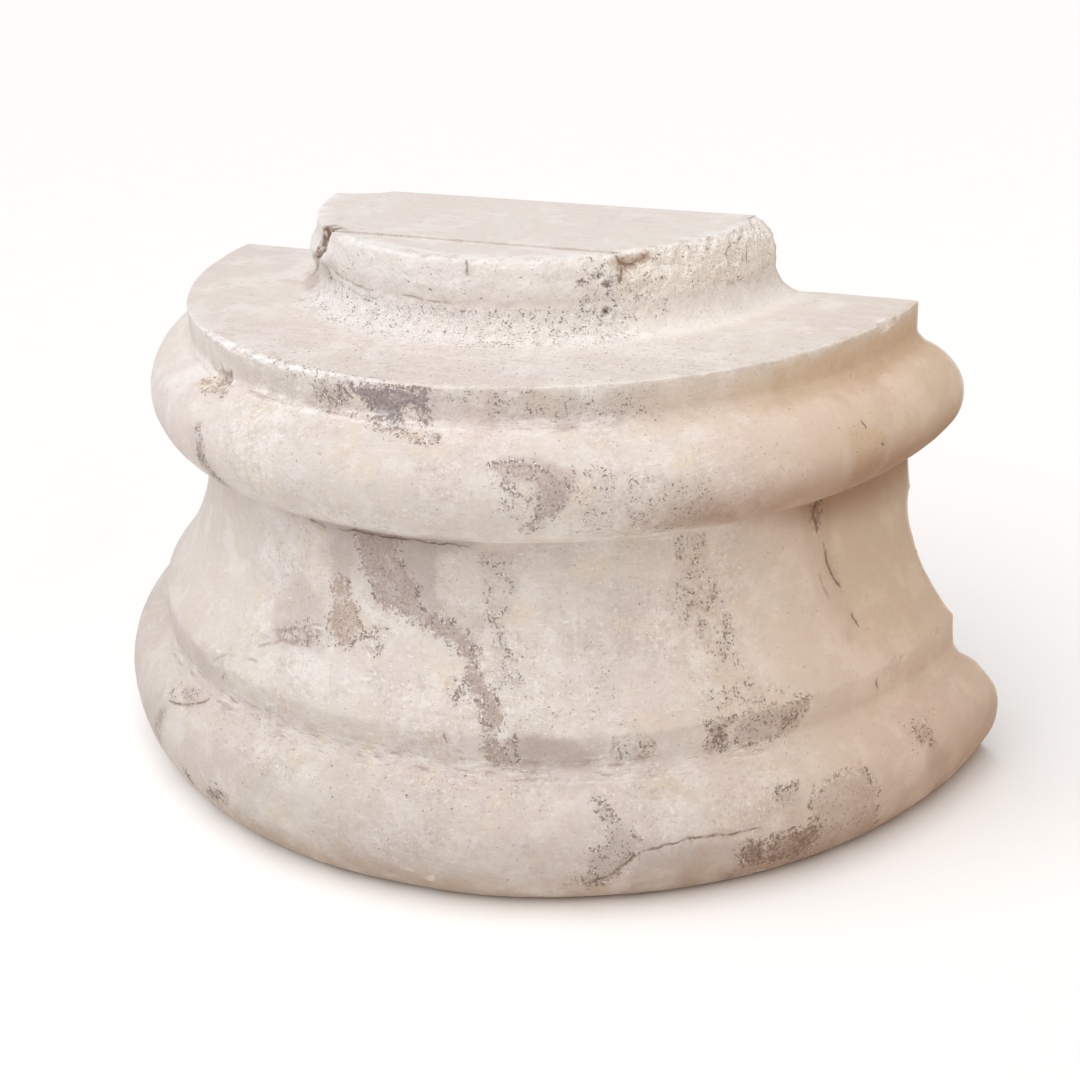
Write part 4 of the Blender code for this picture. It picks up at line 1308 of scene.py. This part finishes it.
colour = coated(
    colour,
    (TAN, crack_halo * 0.30 * (0.4 + grit)),
    (PIT, vein_line * 0.60),
    (RUST, crack_line * 0.70),
    (RED_RUST, crack_halo.most(crack_line) * rusted * (0.1 + 0.7 * grit)),
    (TAN, crease * 0.70),
    (OCHRE, shelf_stain * (0.10 + 0.9 * small) * 0.75),
    (CHALK, scratch_line * 0.85),
    (WHITE, streaks.rise(0.50, 0.64) * struck * 0.70),
    (MAUVE, streaks.rise(0.46, 0.38) * struck * 0.80),
)

# Over the marks: a warm tint at the right end, partly the stone's own and partly painted warm light;
# darker towards the bed; and painted shade under the upper torus and at the lower torus's right end.
colour = stained(
    colour,
    (HONEY, warm_tint_and_light),
    (LOW_DARKENING, low * (0.75 + 0.5 * middle) * (1.0 - warm_tint_and_light * 0.5)),
    (FOOT_DARKENING, foot * middle.rise(0.30, 0.60)),
    (SHADE_BROWN, stain_light_and_shade * (0.90 + 0.20 * middle)),
)

# Painted shade in the hollows, the dark crack in the seat, and the marks of the saw.
spared = seat_wall_here * 0.5 + rubble_here * 0.4 + warm_seat * 0.30
saw_dark = saw_lines.rise(0.62, 0.74) * sawn_face
saw_pale = long_lines.rise(0.54, 0.66) * sawn_face
colour = coated(
    colour,
    (HOLLOW_SHADE, hollow_shade_and_crack * (0.25 + 0.5 * fine) * (0.8 - spared)),
    (TAN, in_crack * 0.55),
    (RUST, in_crack * small.rise(0.54, 0.42) * 0.90),
    (CHALK, saw_pale * 0.18),
    (TAN, saw_dark * 0.45),
)

# The relief that is too fine for the mesh, in millimetres.
relief = (fine - 0.5) * 0.18 + (small - 0.5) * 0.25 + (middle - 0.5) * 0.5
relief = relief + ((clouds - 0.5) * 0.9 + (grit - 0.5) * 0.45) * crusted
relief = relief - pit_here * 0.46 + grain_here * 0.26 + (streaks - 0.5) * struck * 0.6
relief = relief - crack_line * 0.9 - vein_line * 0.30 - crease * 0.5
relief = relief + (1.0 - tan_share.most(grey_share)) * 0.10
relief = relief - saw_dark * 0.16 + rubble_here * (small - 0.5) * 0.8
relief = relief + warm_seat * ((clouds - 0.5) * 2.4 + (grit - 0.5) * 1.6)
bump = Tone.node("Bump", {}, {"Strength": 0.9, "Distance": 0.001, "Height": relief})

surface = stone.node_tree.nodes["Principled BSDF"]
surface.inputs["Specular IOR Level"].default_value = 0.30
stone.node_tree.links.new(colour.socket, surface.inputs["Base Color"])
stone.node_tree.links.new((0.74 + 0.16 * small).socket, surface.inputs["Roughness"])
stone.node_tree.links.new(bump.socket, surface.inputs["Normal"])
block.data.materials.append(stone)
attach(block, "root")
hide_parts("column_base")


# The floor
#
# The ground that the block stands on: one wide flat floor, painted a warm white without any gloss. It
# runs on past the picture on every side.

WARM_WHITE = (0.925, 0.91, 0.89, 1.0)
bpy.ops.mesh.primitive_plane_add(size=30.0)
floor = bpy.context.object
floor.name = "floor"
floor_paint = bpy.data.materials.new("floor_paint")
floor_paint.use_nodes = True
coat = floor_paint.node_tree.nodes["Principled BSDF"]
coat.inputs["Base Color"].default_value = WARM_WHITE
coat.inputs["Roughness"].default_value = 1.0
floor.data.materials.append(floor_paint)


# The light and the camera
#
# A high soft daylight from the front left, a low warm light from the right and a pale room all round.
# The camera is held a metre off, to the right of the front, and looks down on the block.

scene = bpy.context.scene
scene.view_settings.view_transform = "Standard"
world = bpy.data.worlds.new("pale_room")
world.use_nodes = True
room = world.node_tree.nodes["Background"]
room.inputs["Color"].default_value = (1.0, 1.0, 1.0, 1.0)
room.inputs["Strength"].default_value = 0.22
scene.world = world

LAMP_AWAY = 3.0
DAYLIGHT = (0.985, 0.99, 1.015)
LAMPLIGHT = (1.0, 0.70, 0.42)


def wide_lamp(name, turned, raised, strength, spread, tint):
    """A large soft light far off, turned so many degrees from the front and raised so many."""
    aim = radians(turned)
    lift = radians(raised)
    beam = Vector((-sin(aim) * cos(lift), cos(aim) * cos(lift), -sin(lift)))
    bpy.ops.object.light_add(type="SUN", location=-LAMP_AWAY * beam)
    light = bpy.context.object
    light.name = name
    light.rotation_euler = beam.to_track_quat("-Z", "Y").to_euler()
    light.data.energy = strength
    light.data.angle = radians(spread)
    light.data.color = tint


wide_lamp("key", -22.0, 66.0, 2.95, 75.0, DAYLIGHT)
wide_lamp("warm_fill", 80.0, 18.0, 0.50, 60.0, LAMPLIGHT)

CAMERA_TURN = 27.12  # degrees to the right of the front
CAMERA_RISE = 24.38  # degrees above the level
CAMERA_ROLL = -2.891
CAMERA_AWAY = 1.09519
CAMERA_AIM = (0.0046, 0.1003, 0.1142)
bpy.ops.object.camera_add()
camera = bpy.context.object
camera.data.lens = 56.106
camera.data.sensor_width = 36.0
turned = Matrix.Rotation(radians(CAMERA_TURN), 4, "Z")
raised = turned @ Matrix.Rotation(radians(90.0 - CAMERA_RISE), 4, "X")
rolled = raised @ Matrix.Rotation(radians(CAMERA_ROLL), 4, "Z")
set_back = rolled @ Matrix.Translation((0.0, 0.0, CAMERA_AWAY))
camera.matrix_world = Matrix.Translation(CAMERA_AIM) @ set_back
scene.camera = camera
